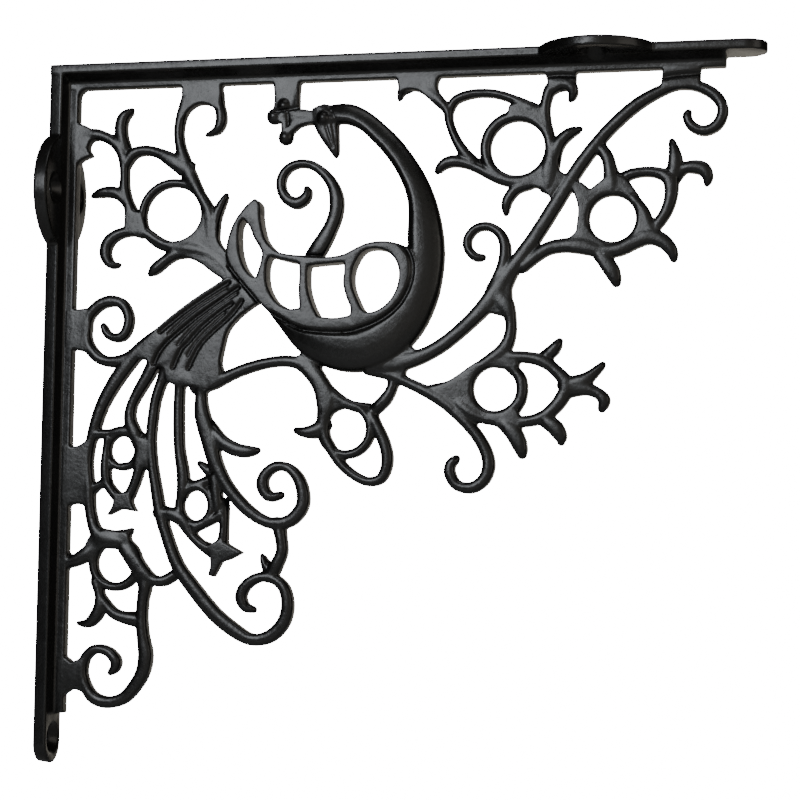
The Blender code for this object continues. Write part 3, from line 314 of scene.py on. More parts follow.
# The lowest motif: ring, its hooks, the link to the third feather and the bottom scroll
lowest = {
    "ringLink": [(7, 160.8, 4.4), (10.5, 160.4, 3.6), (14, 158.6, 4.2), (17.4, 155.6, 4.4)],
    "topHook": [(18, 152, 4.0), (23, 152.4, 3.2), (27, 151.8, 2.6), (29.5, 150.5, 1.2)],
    "shoulder": [(26, 154.6, 4.0), (30, 159.6, 4.6), (33, 163.6, 4.6), (36.8, 166.3, 3.1),
                 (40.6, 166.5, 3.1), (44.6, 164, 3.2)],
    "toe": [(17.4, 166.6, 2.6), (19, 170.6, 2.6), (19.4, 174.6, 3.3), (18, 178, 3.4), (15.4, 180.4, 2.6),
            (12, 180.4, 1.0)],
    "floor": [(19.8, 172.6, 2.8), (23.6, 176.8, 3.0), (28, 178.5, 3.6), (32.2, 179, 5.0)],
    "tailScroll": [(32, 163.4, 4.4), (34.2, 167.8, 3.8), (33.6, 173, 3.1), (33.4, 179, 3.2),
                   (34, 184.4, 3.3), (35, 190, 4.0), (34.2, 195.4, 3.8), (31.6, 200, 3.6),
                   (27.8, 203.9, 3.4), (22.5, 205.3, 3.4), (17.7, 203.8, 3.3), (14.9, 199.8, 3.0),
                   (13.8, 195.6, 3.0), (14.9, 191.2, 2.6), (18, 188.6, 2.6), (22, 189.1, 2.7),
                   (24.9, 191.7, 3.0), (24.9, 194.2, 2.6), (23.3, 195.9, 1.7)],
}

# The two scrolls hung below the fifth feather
lowMiddle = {
    "drop": [(77.6, 148, 4.0), (78.8, 152.6, 3.2), (79.2, 157, 3.2), (77.5, 161, 3.6), (75.4, 164.4, 4.4)],
    "dropHook": [(75.2, 163, 4.4), (73.6, 160.6, 2.5), (72.8, 158.2, 1.2)],
}

# The scroll that stands on the wing's back
backScroll = {
    "wingScroll": [(88, 63.2, 5.4), (90.4, 59.7, 4.9), (93.1, 55, 4.1), (94.9, 50, 3.9), (95.1, 45.4, 4.0),
                   (93.8, 41, 3.2), (91, 37.2, 2.8), (87.2, 34.4, 2.4), (83, 33.6, 2.2), (79.3, 34.9, 2.3),
                   (77, 38, 2.5), (76.9, 41.7, 2.6), (78.8, 44.9, 3.0), (82, 46.3, 3.3), (84.7, 44.9, 2.9),
                   (85.6, 42.8, 2.2), (85.2, 41.8, 1.8)],
}

# Bars about the ring under the middle of the shelf arm
topMiddle = {
    "hanger": [(121.4, 8.4, 3.2), (124.4, 11.4, 3.2), (127.3, 14.4, 3.2), (130.5, 18, 2.6),
               (131.2, 22, 2.2), (133.2, 27, 2.5), (136.4, 32, 3.2), (140.6, 36, 3.4)],
    "hangerHook": [(118.6, 8.6, 4.6), (115.8, 11, 2.4), (115, 14, 1.0)],
    "arch": [(131.2, 18, 2.2), (132.8, 15, 2.3), (136.4, 13.4, 2.3), (141, 12.8, 2.2), (146.5, 13.4, 2.2),
             (151.5, 15.2, 2.4), (156.5, 17.8, 3.4), (161, 20, 4.0)],
    "leftHook": [(127.6, 37.2, 1.8), (129.4, 35.2, 2.7), (132.4, 34.2, 3.2), (136.5, 34.8, 3.0),
                 (141, 36.8, 2.8), (146, 39.5, 3.0), (152, 41.4, 3.0), (158, 41.6, 3.0)],
    "lowHook": [(157, 42, 3.0), (152.8, 43.4, 3.0), (150.2, 46.4, 2.8), (149.4, 49, 2.4),
                (149.5, 51.2, 1.4)],
    "right": [(167, 11.2, 3.2), (163.4, 12, 3.4), (161.9, 15.6, 2.9), (161.4, 19.4, 3.0), (162, 23.4, 2.8),
              (163.3, 28, 2.6), (163.8, 33, 3.6), (163, 38, 5.0), (162.6, 43, 5.0)],
    "curl": [(163.4, 12.6, 3.0), (166.6, 10.7, 3.4), (169.4, 11.5, 3.4), (170.2, 13.8, 2.6),
             (169.5, 15.9, 1.5)],
    "rightHook": [(164.3, 36, 3.6), (165, 31.6, 3.7), (166.7, 28.6, 3.4), (169.5, 26.3, 2.9),
                  (172.6, 25.2, 1.3)],
}

# Bars about the ring beyond the stem
right = {
    "upperBranch": [(177.8, 30, 3.5), (180.7, 33.7, 3.6), (181.9, 37.7, 3.8), (182.6, 43, 6.0)],
    "lowerBranch": [(169.4, 41.6, 3.0), (172.8, 45.2, 2.8), (175.4, 48.6, 3.0)],
    "sweep": [(154.6, 68.4, 3.0), (158.4, 65.1, 3.4), (162.8, 62.4, 3.6), (168, 61.5, 3.9),
              (173.5, 61.8, 4.6), (179, 63.2, 3.8), (184.6, 63, 4.0), (189.6, 60.8, 4.0), (194, 59.2, 4.5),
              (198, 60.5, 4.2), (200.7, 63.3, 3.6), (201.6, 66.2, 2.1)],
    "foot": [(176.5, 61.6, 3.6), (180.2, 66, 4.4), (182.8, 69.9, 4.5), (184, 73.2, 2.8)],
    "leaf": [(184, 41.6, 3.2), (188, 39.8, 2.8), (193, 39.1, 2.6), (197.4, 39.8, 3.1), (200.4, 42, 4.2),
             (200.7, 46.6, 3.6), (199.2, 51.6, 3.2), (196.4, 55.6, 3.0), (193, 58.2, 3.2)],
    "leafThorn": [(201.3, 41, 4.4), (202, 36.4, 4.2), (201.7, 33, 3.2), (200.9, 30, 1.8)],
    "leafHook": [(201.6, 41.4, 3.6), (204.4, 38.5, 3.0), (207.8, 38, 3.6), (210.8, 38.9, 3.8),
                 (211.8, 41.2, 3.0), (211.6, 43.3, 1.6)],
    "ringSide": [(189.2, 47.4, 3.0), (192.2, 51.2, 3.2), (193.8, 55.4, 3.4), (195.4, 58.6, 3.0)],
}

# The branch from under the body to the ring at the lower right, and its scroll
lowerRight = {
    "longScroll": [(106, 99.9, 2.6), (113, 101.2, 3.2), (119, 103.8, 3.0), (125.4, 106.8, 3.4),
                   (131, 110.2, 3.6), (136, 114.6, 3.4), (140.6, 119.6, 3.3), (143.8, 124.8, 3.4),
                   (144.9, 129.6, 3.5), (143.4, 134, 3.3), (139.5, 136.5, 3.2), (135, 135.7, 3.0),
                   (132.7, 132.2, 3.1), (132.9, 129.3, 2.8), (134.6, 127.6, 2.3)],
    "ringTop": [(146, 97, 3.8), (151.6, 96, 3.2), (157, 96.2, 3.2), (161.6, 97.4, 3.6), (165.2, 100, 3.4),
                (168.9, 104.6, 4.0), (166.6, 110.2, 3.8), (161.6, 114.6, 3.3), (156, 116, 3.1),
                (150, 115.8, 3.4)],
    "horn": [(161.4, 96.4, 3.6), (164.7, 93.9, 3.5), (166.6, 91.3, 2.0)],
    "thorn": [(168.6, 104.6, 4.4), (173.6, 103.8, 4.4), (177, 101.4, 2.9), (180, 98.6, 1.8)],
    "claw": [(169, 106.6, 4.2), (174, 105.8, 4.0), (178, 107, 3.2), (180.5, 109.3, 3.4), (179.9, 112, 2.4)],
    "toe": [(161.4, 115, 4.0), (165.2, 117.6, 4.6), (167.1, 120.5, 3.8), (167.4, 122.3, 2.2)],
    "heel": [(148.6, 115.8, 3.8), (152.3, 119.1, 4.8), (154.5, 123.2, 4.3), (155.3, 126.1, 2.8)],
    "ringFloor": [(133.6, 108.6, 4.4), (138.6, 113, 4.0), (144, 115.2, 3.0), (150, 116, 3.0)],
    "ringFront": [(151.6, 99.4, 3.2), (154.8, 103, 2.9), (154.9, 108.6, 2.9), (151.8, 113.4, 3.4)],
}

# The branch under the body, from the tail to the ring below it
underBody = {
    "branch": [(50, 105, 4.2), (56, 103.4, 3.8), (61, 101.1, 3.1), (67, 98.8, 3.0), (73, 97.3, 2.9),
               (78.6, 96.7, 3.1), (83.6, 97.5, 3.6), (87.8, 100.4, 4.4), (91.4, 105, 5.2),
               (92.8, 110.4, 5.4), (91.9, 116, 3.4), (92.6, 121.5, 3.0)],
    "shoulder": [(86, 96.6, 4.0), (88, 98.8, 4.4), (91.2, 103.6, 3.4), (95.6, 108.1, 3.5),
                 (100.9, 110.9, 2.9), (106.2, 111.8, 3.4)],
    "drop": [(113.6, 100.8, 3.6), (114, 105, 2.8), (111.7, 109.2, 3.4), (108, 112.4, 3.6)],
    "hook": [(83.2, 118.7, 1.8), (86, 119.3, 3.1), (89.4, 118.8, 4.2), (92.4, 116.6, 4.4)],
    "loop": [(106.8, 112.4, 3.4), (108.9, 117, 3.2), (111.3, 121.6, 3.2), (112.7, 126.7, 3.2),
             (112.3, 131, 3.0), (110.4, 134, 2.7), (106.6, 134.7, 2.6), (102.6, 133.1, 2.5),
             (98.6, 130, 2.6), (95.6, 126.2, 2.8), (92.4, 120.8, 3.0)],
}

# Rings as (x, drop, radius of the hole, width of the bar, height of the hole over its width)
rings = {
    "ringUpperLeft": (41.1, 49.4, 9.5, 2.2, 1.0),
    "ringTopMiddle": (153.0, 30.7, 8.8, 2.9, 1.0),
    "ringRight": (182.8, 53.5, 7.4, 2.7, 1.0),
    "ringLowerRight": (146.6, 105.9, 7.0, 2.7, 1.0),
    "ringUnderBody": (99.3, 118.4, 6.7, 2.4, 1.0),
    "ringLowest": (24.2, 161.2, 6.3, 2.4, 1.0),
    "ringEyeA": (25.7, 125, 4.2, 1.8, 1.1),
    "ringEyeB": (50.6, 142.6, 4.2, 2.4, 1.16),
}

# Flat webs that fill the crotches between bars, and the pads that tie the fretwork to the frame
webs = {
    "hangerLeft": [(43.4, 6), (56.2, 6), (56.4, 12), (54.6, 15.2), (52.6, 13.8), (50, 13.2), (47.4, 13.9),
                   (45.2, 15.8), (43.8, 18), (41.9, 17), (43.3, 12.5)],
    "webRingA": [(40, 58.2), (44.6, 57.6), (48.6, 55), (51, 51), (56, 53), (56.2, 59.6), (59.2, 63.4),
                 (59, 69.4), (54, 66), (48, 63.4), (42, 62)],
    "webRingATop": [(25, 47), (30.6, 48.6), (32.4, 54.6), (30, 56.4), (25, 54.6)],
    "hangerMiddle": [(113.8, 6), (128.6, 6), (127.2, 9), (127.4, 11.6), (129.4, 14.4), (126, 15.4),
                     (121.8, 11.8), (118.2, 11), (115.2, 12), (114.8, 9)],
    "webRingB": [(160.6, 36.6), (165.6, 33), (165.9, 38), (168.2, 39.8), (163.6, 46.4), (160, 43.4),
                 (154, 42.6), (153, 40.4), (158, 39.6)],
    "webRingBTop": [(150.4, 17.4), (154.6, 16.6), (160, 18.4), (162.4, 26), (159.4, 24), (155.4, 21.2),
                    (149.8, 21.2)],
    "hangerCurl": [(161.2, 6), (171, 6), (171, 10), (168, 12.2), (163, 11.6)],
    "hangerStem": [(198.4, 6), (209.6, 6), (209.3, 13), (204, 13.4), (197.6, 14)],
    "webRingC": [(168, 60.4), (171.6, 57.6), (173.6, 53), (176.4, 58), (181, 61.4), (178, 63.6),
                 (172, 62.6)],
    "webRingCTop": [(175.4, 45), (180, 41.4), (183.6, 39.6), (187.3, 41.8), (190.4, 46), (186, 45.6),
                    (180, 45.4), (176.4, 48.4)],
    "webRingCSide": [(188, 60.4), (191, 56), (193.4, 54), (197.6, 56.4), (196, 60.4)],
    "webRingD": [(127, 105.4), (133, 103), (140.4, 98), (143, 98), (139.6, 102.4), (138.8, 108.4),
                 (141.6, 113), (138, 114), (132, 109.6)],
    "webRingDTop": [(142, 98.4), (148.4, 93.6), (152.2, 94.8), (154, 98.6), (151, 99.6)],
    "webRingDLow": [(148, 113.6), (153.6, 112.6), (155.6, 116.4), (153, 119.6), (147, 117.4)],
    "webStemFork": [(141.8, 81.2), (146.6, 74), (151.2, 72), (151.6, 80), (148.4, 83)],
    "webBodyRight": [(113, 93), (117.4, 91), (121.4, 93.6), (119.4, 97)],
    "webStemLow": [(110, 97), (119.2, 97.4), (117.8, 101.2), (112, 101.4)],
    "webStemSweep": [(150, 71.5), (154.6, 66), (157, 65), (153.2, 70.4), (151.4, 74.6)],
    "webUpper": [(41, 31.6), (45, 32.4), (46.4, 37.5), (43.6, 35.2)],
    "rump": [(51.2, 49), (56, 51), (56.4, 57.6), (58.6, 61), (62, 64.6), (66.4, 69.6), (64, 74),
             (60.4, 71.6), (55, 68.2), (50, 64.6), (44.8, 62.6), (44.6, 58), (49.4, 55)],
    "webRingCLeft": [(169, 41), (173.4, 42.4), (177, 46), (174.6, 51), (174.9, 57), (171.8, 56.8),
                     (172.4, 50.6), (171.4, 46.4)],
    "corner": [(7, 6.6), (10, 6.6), (9.4, 7.7), (8.5, 8.4), (8.1, 9.4), (7, 10.4)],
    "webRingE": [(91.4, 104), (96, 108), (100, 110.8), (96, 112), (93, 115.4), (92, 120), (91, 118)],
    "webBody": [(84.6, 94.8), (89, 97.6), (92, 101), (88.6, 103.4), (84, 99.4), (79.6, 97.2)],
    "webFeatherTips": [(26.4, 119), (28.4, 115), (31.4, 120.6), (34.4, 122), (34.2, 130.4), (30, 130.4),
                       (31, 125), (29.6, 121.4)],
    "webLowest": [(15.6, 153), (20, 150.6), (28.6, 152), (29.6, 156.4), (24, 155.2), (18.6, 157.2),
                  (16, 161), (13.6, 158)],
    "webLowestSide": [(30.4, 158), (33.6, 161), (36.4, 166), (33.6, 168.4), (31.4, 166.6), (31, 162)],
    "padLink": [(6, 18.4), (8.6, 18.8), (12, 20.2), (14, 22.4), (12.2, 24.8), (11.4, 26.8), (12.9, 29.2),
                (9.8, 30.4), (8, 31.8), (6, 32)],
    "padScroll": [(6, 80), (12.6, 79.4), (14, 84), (13.6, 90), (15, 94), (10, 92.6), (6, 92)],
    "padEyeA": [(6, 123.6), (10.4, 124), (14, 122), (14.8, 131), (15.4, 139), (14.6, 142.8), (10.6, 142.2),
                (6, 143)],
    "padLowest": [(6, 191), (8.6, 191.6), (10.4, 193), (14.4, 191.4), (14.6, 202), (11, 201), (8.6, 202.6),
                  (6, 203)],
    "crestFan": [(75, 16.6), (83.4, 16.4), (88, 17.6), (87.6, 20.8), (83, 21.4), (80, 23.6), (77, 23.4),
                 (76.8, 20.4), (74, 19.6)],
}
crestPost = [(73.8, 6), (82.6, 6), (82.2, 10), (82.2, 16.6), (74.2, 16.6), (74.6, 12)]

# The tail's fan
tailFan = [(60, 70.4), (54, 73.6), (46, 78.8), (38, 85), (31.4, 91.2), (28, 94.8), (30.4, 95.4), (33.6, 96),
           (35.2, 98.6), (38, 97.8), (39.8, 99.2), (40.4, 103), (42.6, 103.8), (46, 104.4), (50, 104.6),
           (53, 106.6), (57, 103.4), (58.4, 99.6), (57.9, 97), (58.8, 92), (60.2, 87), (63.4, 83),
           (68, 79.4), (71.4, 77.4), (66, 71)]

# The raised wing: its edge, and the openings cut through it
wingEdge = [(69.4, 45.4), (70.8, 47.2), (71, 51.2), (71.8, 55.3), (73.1, 58.8), (76.2, 62), (80, 63.3),
            (86, 63.9), (93, 64.5), (98.4, 63.8), (102.4, 61.9), (106, 60.4), (110, 59.8), (114, 60.1),
            (118, 61.4), (120.6, 63.6), (121.2, 68), (120.4, 73), (118.6, 77.8), (115.8, 81.6), (112, 84.6),
            (107.6, 86.5), (102, 87.6), (96, 87.9), (90, 87.4), (84, 86.2), (79, 84.2), (75, 81.6),
            (70.8, 77.6), (66.4, 72.6), (62.2, 67.4), (60.4, 63.4), (60.6, 59.4), (61.6, 55.6), (63.2, 52),
            (65.4, 49), (67.4, 46.8)]
wingOpenings = {
    "lens": [(65.5, 51.3), (67.8, 53.9), (69.5, 57.8), (71, 60.2), (72.2, 62.6), (71.8, 65.6), (71, 68.4),
             (70.3, 70.7), (68.2, 69.8), (65.9, 66.8), (64.4, 62.4), (63.9, 57.6), (64.2, 53.6)],
    "first": [(74.4, 63.5), (78.8, 64.8), (84.4, 66), (84.6, 70), (84.4, 75), (84.9, 80.6), (80.9, 80.7),
              (77.4, 78.9), (75, 75.9), (73.5, 72.1), (73.3, 67)],
    "second": [(86.9, 66.7), (92.4, 66.3), (99, 65.8), (99.1, 69), (98.8, 72.6), (99.8, 76.8),
               (101.3, 80.4), (101.2, 83), (96, 83.8), (90.6, 83.3), (88.4, 79), (87, 74.4), (86.7, 70)],
    "third": [(105.1, 62.4), (108.6, 61.7), (112.2, 62.5), (114.8, 64.6), (116.4, 67.6), (116.7, 71),
              (115.9, 74.8), (113.9, 78.3), (110.8, 81), (107.4, 82.2), (105, 81.3), (103.2, 78.2),
              (101.4, 73.6), (101.3, 69), (102.8, 65.1)],
}

# How a bar is cast: upright flanks, two sloping faces and a soft ridge along its front, a plainer back
barSection = {
    "profile": [(1.0, 0.0), (1.0, 0.46), (0.8, 0.68), (0.5, 0.86), (0.2, 0.985), (-0.2, 0.985),
                (-0.5, 0.86), (-0.8, 0.68), (-1.0, 0.46), (-1.0, -0.78), (-0.85, -0.98), (0.85, -0.98),
                (1.0, -0.78)],
    "bodyProfile": [(1.0, -0.4), (1.0, 0.2), (0.92, 0.52), (0.76, 0.8), (0.56, 0.97), (0.38, 1.0),
                    (-0.04, 0.9), (-0.48, 0.72), (-0.84, 0.48), (-0.98, 0.26), (-1.0, 0.0), (-1.0, -0.4),
                    (-0.8, -0.7), (-0.4, -0.9), (0.4, -0.9), (0.8, -0.7)],
    "shrinkage": 0.4,                             # added to each width, as the softening takes it off
    "depthRatio": 1.96, "halfDepth": 2.6,         # a bar's depth levels off at the halfDepth
    "flatBack": 2.4, "backGrip": 3.0,             # every bar's back levels off on one plane
    "widestTip": 3.0, "tipExtra": 0.25,           # a bar this wide or narrower ends in a round tip
    "sunkLength": 6.0, "sunkDepth": 2.4,          # and a wider one sinks into what it meets
    "bodyRatio": 0.99, "bodyHalfDepth": 6.4,
    "turnStep": 7.0, "fewestSteps": 2, "mostSteps": 10, "outlineSteps": 4, "ringSides": 56,
    "knobSides": (20, 12), "mergeWithin": 0.01,
    "webFront": 2.15, "webBack": 2.2, "fanFront": 2.4, "fanBack": 2.3, "edgeRound": 0.3,
    "wingFront": 5.0, "wingBack": 2.2, "postFront": 2.2, "postBack": 2.2, "cornerTurn": 42.0,
}


def blend(a, b, c, d, t):
    return 0.5 * (2 * b + (c - a) * t + (2 * a - 5 * b + 4 * c - d) * t ** 2
                  + (3 * b - a - 3 * c + d) * t ** 3)


def turnAt(a, b, c):
    first = atan2(b[1] - a[1], b[0] - a[0])
    second = atan2(c[1] - b[1], c[0] - b[0])
    turn = abs(degrees(second - first)) % 360.0
    return min(turn, 360.0 - turn)


def smoothLine(points):
    # a curve through the points, closer set where it turns
    padded = [points[0]] + list(points) + [points[-1]]
    path = []
    for i in range(1, len(padded) - 2):
        a, b, c, d = padded[i - 1:i + 3]
        turn = (turnAt(a, b, c) if i > 1 else 0.0) + (turnAt(b, c, d) if i < len(padded) - 3 else 0.0)
        steps = round(turn / barSection["turnStep"])
        steps = min(barSection["mostSteps"], max(barSection["fewestSteps"], steps))
        for step in range(steps):
            path.append(tuple(blend(a[k], b[k], c[k], d[k], step / steps) for k in range(len(b))))
    path.append(tuple(points[-1]))
    return path


def smoothLoop(points, cornerTurn):
    # a closed outline through the points that keeps its sharp corners
    count = len(points)
    steps = barSection["outlineSteps"]
    sharp = [turnAt(points[i - 1], points[i], points[(i + 1) % count]) > cornerTurn for i in range(count)]
    path = []
    for i in range(count):
        b, c = points[i], points[(i + 1) % count]
        a = b if sharp[i] else points[i - 1]
        d = c if sharp[(i + 1) % count] else points[(i + 2) % count]
        path += [tuple(blend(a[k], b[k], c[k], d[k], step / steps) for k in range(2))
                 for step in range(steps)]
    return path


def drawingToWorld(y=0.0):
    # curve space holds (x, -drop, towards the viewer) in millimetres
    place = Matrix.Translation((0.0, y * mm, originDrop * mm))
    turn = Matrix(((1, 0, 0, 0), (0, 0, -1, 0), (0, 1, 0, 0), (0, 0, 0, 1)))
    return place @ turn @ Matrix.Diagonal((mm, mm, mm, 1.0))


def meshFromCurve(name, curve, y=0.0):
    holder = bpy.data.objects.new(name, curve)
    workshop.objects.link(holder)
    graph = bpy.context.evaluated_depsgraph_get()
    mesh = bpy.data.meshes.new_from_object(holder.evaluated_get(graph))
    bpy.data.objects.remove(holder)
    bpy.data.curves.remove(curve)
    mesh.transform(drawingToWorld(y))
    edit = bmesh.new()
    edit.from_mesh(mesh)
    bpy.data.meshes.remove(mesh)
    bmesh.ops.remove_doubles(edit, verts=edit.verts, dist=barSection["mergeWithin"] * mm)
    return addMesh(name, edit)


def loopCurve(name, loops, kind="2D"):
    curve = bpy.data.curves.new(name, "CURVE")
    curve.dimensions = kind
    for loop in loops:
        spline = curve.splines.new("POLY")
        spline.points.add(len(loop) - 1)
        spline.use_cyclic_u = True
        for target, point in zip(spline.points, loop):
            target.co = (point[0], -point[1], 0.0, 1.0)
            target.radius = (point[2] + barSection["shrinkage"]) / 2 if len(point) > 2 else 1.0
    return curve


def sectionHolder(name, profile, ratio):
    outline = [(x, -depth * ratio) for x, depth in profile]
    item = bpy.data.objects.new(name, loopCurve(name, [outline]))
    workshop.objects.link(item)
    return item


sections = {
    "bar": sectionHolder("barProfile", barSection["profile"], barSection["depthRatio"]),
    "body": sectionHolder("bodyProfile", barSection["bodyProfile"], barSection["bodyRatio"]),
}


def sink(path, points, curve):
    # lowers the wide ends of a bar over their last millimetres
    targets = curve.splines[0].points
    for end, steps in ((points[0], range(len(path))), (points[-1], range(len(path) - 1, -1, -1))):
        if end[2] <= barSection["widestTip"]:
            continue
        gone, last = 0.0, end
        for i in steps:
            gone += (Vector(path[i][:2]) - Vector(last[:2])).length
            last = path[i]
            if gone > barSection["sunkLength"]:
                break
            targets[i].co[2] -= barSection["sunkDepth"] * (1 - gone / barSection["sunkLength"]) ** 2


def bar(name, points, kind="bar", closed=False):
    # a bar swept along its line, widths and all, levelled off in depth
    limit = (barSection["bodyHalfDepth"] if kind == "body" else barSection["halfDepth"]) * mm
    path = points if closed else smoothLine(points)
    curve = loopCurve(name, [path], "3D")
    curve.splines[0].use_cyclic_u = closed
    if not closed:
        sink(path, points, curve)
    curve.twist_mode = "Z_UP"
    curve.bevel_mode = "OBJECT"
    curve.bevel_object = sections[kind]
    curve.use_fill_caps = True
    item = meshFromCurve(name, curve)
    places = np.empty(len(item.data.vertices) * 3)
    item.data.vertices.foreach_get("co", places)
    depths = places[1::3]
    levelled = limit * np.tanh(depths / limit)
    if kind == "bar":
        back = barSection["flatBack"] * mm
        level = back * np.tanh(barSection["backGrip"] * depths / back / 2)
        levelled = np.where(depths > 0, level, levelled)
    places[1::3] = levelled
    item.data.vertices.foreach_set("co", places)
    ends = [] if closed else [points[0], points[-1]]
    return [item] + [knob(name + "Tip", x, drop, width / 2 + barSection["tipExtra"])
                     for x, drop, width in ends if width <= barSection["widestTip"]]


def ring(name, x, drop, hole, width, tall):
    middle = hole + width / 2
    turns = [radians(360.0 * i / barSection["ringSides"]) for i in range(barSection["ringSides"])]
    points = [(x + middle * cos(turn), drop + (hole * tall + width / 2) * sin(turn), width)
              for turn in turns]
    return bar(name, points, closed=True)


def plate(name, outline, front, back, openings=()):
    # a flat piece with its edges just rounded
    loops = [smoothLoop(loop, barSection["cornerTurn"]) for loop in [outline, *openings]]
    curve = loopCurve(name, loops)
    curve.fill_mode = "BOTH"
    roundOff = barSection["edgeRound"]
    curve.extrude = (front + back) / 2 - roundOff
    curve.bevel_depth = roundOff
    curve.offset = barSection["shrinkage"] / 2 - roundOff
    curve.bevel_resolution = 1
    return meshFromCurve(name, curve, (back - front) / 2)


def knob(name, x, drop, radius, front=0.0):
    around, along = barSection["knobSides"]
    edit = bmesh.new()
    bmesh.ops.create_uvsphere(edit, u_segments=around, v_segments=along, radius=radius * mm)
    bmesh.ops.translate(edit, verts=edit.verts, vec=world(x, drop, -front))
    return addMesh(name, edit)


# Small raised work on the front of the head and its crest
raised = {
    # x, drop, radius and how far out the middle is
    "domes": {"eye": (90.9, 19.5, 2.1, 1.9), "postKnob": (77.6, 15.0, 2.6, 0.5)},
    "rays": {
        "upperRay": [(87.4, 18.8, 1.7), (82.4, 18.1, 1.5), (77.6, 17.8, 1.7)],
        "lowerRay": [(86.8, 19.8, 1.6), (82, 21.4, 1.4), (79, 24.2, 1.8)],
    },
    "rayLift": 0.5,
}

# How the grooves are cut: into what faces forward, out to a few widths from the line
engraving = {"frontFrom": 0.6, "facing": 0.25, "reach": 3.0}

# Fine grooves in the front: a line of (x, drop) points, with its width and its depth
grooves = {
    "tail1": ([(60.5, 71.6), (53, 76.2), (45, 81.6), (38, 87)], 0.55, 1.0),
    "tail2": ([(60, 74), (52, 78.6), (45.5, 83.5), (40.8, 88)], 0.35, 0.45),
    "tail3": ([(63.8, 73.2), (57.5, 77.4), (50, 82.6), (45, 86.5), (40.5, 90.3), (37.5, 94), (36, 97.5)],
              0.55, 1.1),
    "tail4": ([(63.5, 75.2), (57, 79.4), (50, 84.8), (46.4, 88.5), (44, 91.5)], 0.35, 0.45),
    "tail5": ([(61.6, 78.4), (57.5, 81.2), (51.5, 86), (47.6, 90.4), (45, 93), (42.6, 98.5)], 0.55, 1.0),
    "tail6": ([(59.5, 81.5), (53, 87.5), (49.4, 91.4), (47.4, 95)], 0.35, 0.45),
    "tail7": ([(65, 77.6), (62, 81.6), (58, 85.2), (53.5, 89.2), (50.5, 93), (47.6, 99)], 0.5, 0.9),
    "rumpSeam": ([(60.4, 66.4), (65, 72), (70.4, 78)], 0.42, 0.9),
    "wingEdge": ([(75.2, 81.8), (80, 84.6), (84, 86.6), (90, 87.8), (98, 88.2), (103, 87.4), (109, 85.3),
                  (114, 82.2), (117.6, 78.4), (120, 73.4), (120.8, 68), (119.6, 63.4), (117, 60.4)],
                 0.6, 1.2),
    "wingScrollRoot": ([(84.6, 63.3), (88, 63.6), (91.6, 63.6)], 0.4, 0.8),
    "beakLeft": ([(91.6, 21.8), (92.8, 25.4), (94, 29)], 0.35, 0.3),
    "beakRight": ([(93.8, 21.4), (94.3, 24.6), (94.6, 28)], 0.35, 0.3),
    "headBack": ([(95.6, 21.2), (94.4, 19.4), (93.4, 17.6)], 0.4, 0.25),
    "postFoot": ([(74.6, 16.9), (78, 16.5), (82, 15.9)], 0.4, 0.8),
    "fanStem": ([(78.9, 17.6), (79.2, 21.4)], 0.35, 0.6),
    "curlHanger": ([(162.4, 8.6), (166.4, 8.3), (170.8, 8.7)], 0.55, 0.9),
    "stemHanger": ([(198.6, 10.2), (203, 9.6), (209.4, 9.4)], 0.7, 0.9),
}


def raisedPieces():
    domes = [knob(name, *values) for name, values in raised["domes"].items()]
    rays = [item for name, points in raised["rays"].items() for item in bar(name, points)]
    for item in rays:
        item.data.transform(Matrix.Translation((0, -raised["rayLift"] * mm, 0)))
    return domes + rays


def fretPieces():
    s = barSection
    pieces = raisedPieces()
    for group in (stem, beak, upperLeft, leftScroll, feathers, featherEyes, lowest, lowMiddle,
                  backScroll, topMiddle, right, lowerRight, underBody):
        for name, points in group.items():
            pieces += bar(name, points)
    for name, points in bird.items():
        pieces += bar(name, points, "body")
    for name, values in rings.items():
        pieces += ring(name, *values)
    pieces += [knob("crestKnob", *values) for values in crestKnobs]
    for group in (fishTails, webs):
        pieces += [plate(name, points, s["webFront"], s["webBack"]) for name, points in group.items()]
    pieces.append(plate("crestPost", crestPost, s["postFront"], s["postBack"]))
    pieces.append(plate("tailFan", tailFan, s["fanFront"], s["fanBack"]))
    pieces.append(plate("wing", wingEdge, s["wingFront"], s["wingBack"], wingOpenings.values()))
    return pieces


# The casting: everything above run together as iron does, at a grain a little finer than a bar's edge
casting = {"grain": 0.4, "softenShare": 0.5, "softenPasses": 3, "mostTriangles": 190000}


def castTogether(pieces):
    edit = bmesh.new()
    for piece in pieces:
        edit.from_mesh(piece.data)
        bpy.data.objects.remove(piece)
    item = addMesh("shelfBracket", edit)
    skin = item.modifiers.new("oneSkin", "REMESH")
    skin.mode = "VOXEL"
    skin.voxel_size = casting["grain"] * mm
    skin.use_smooth_shade = True
    soften = item.modifiers.new("soften", "SMOOTH")
    soften.factor = casting["softenShare"]
    soften.iterations = casting["softenPasses"]
    return bake(item)


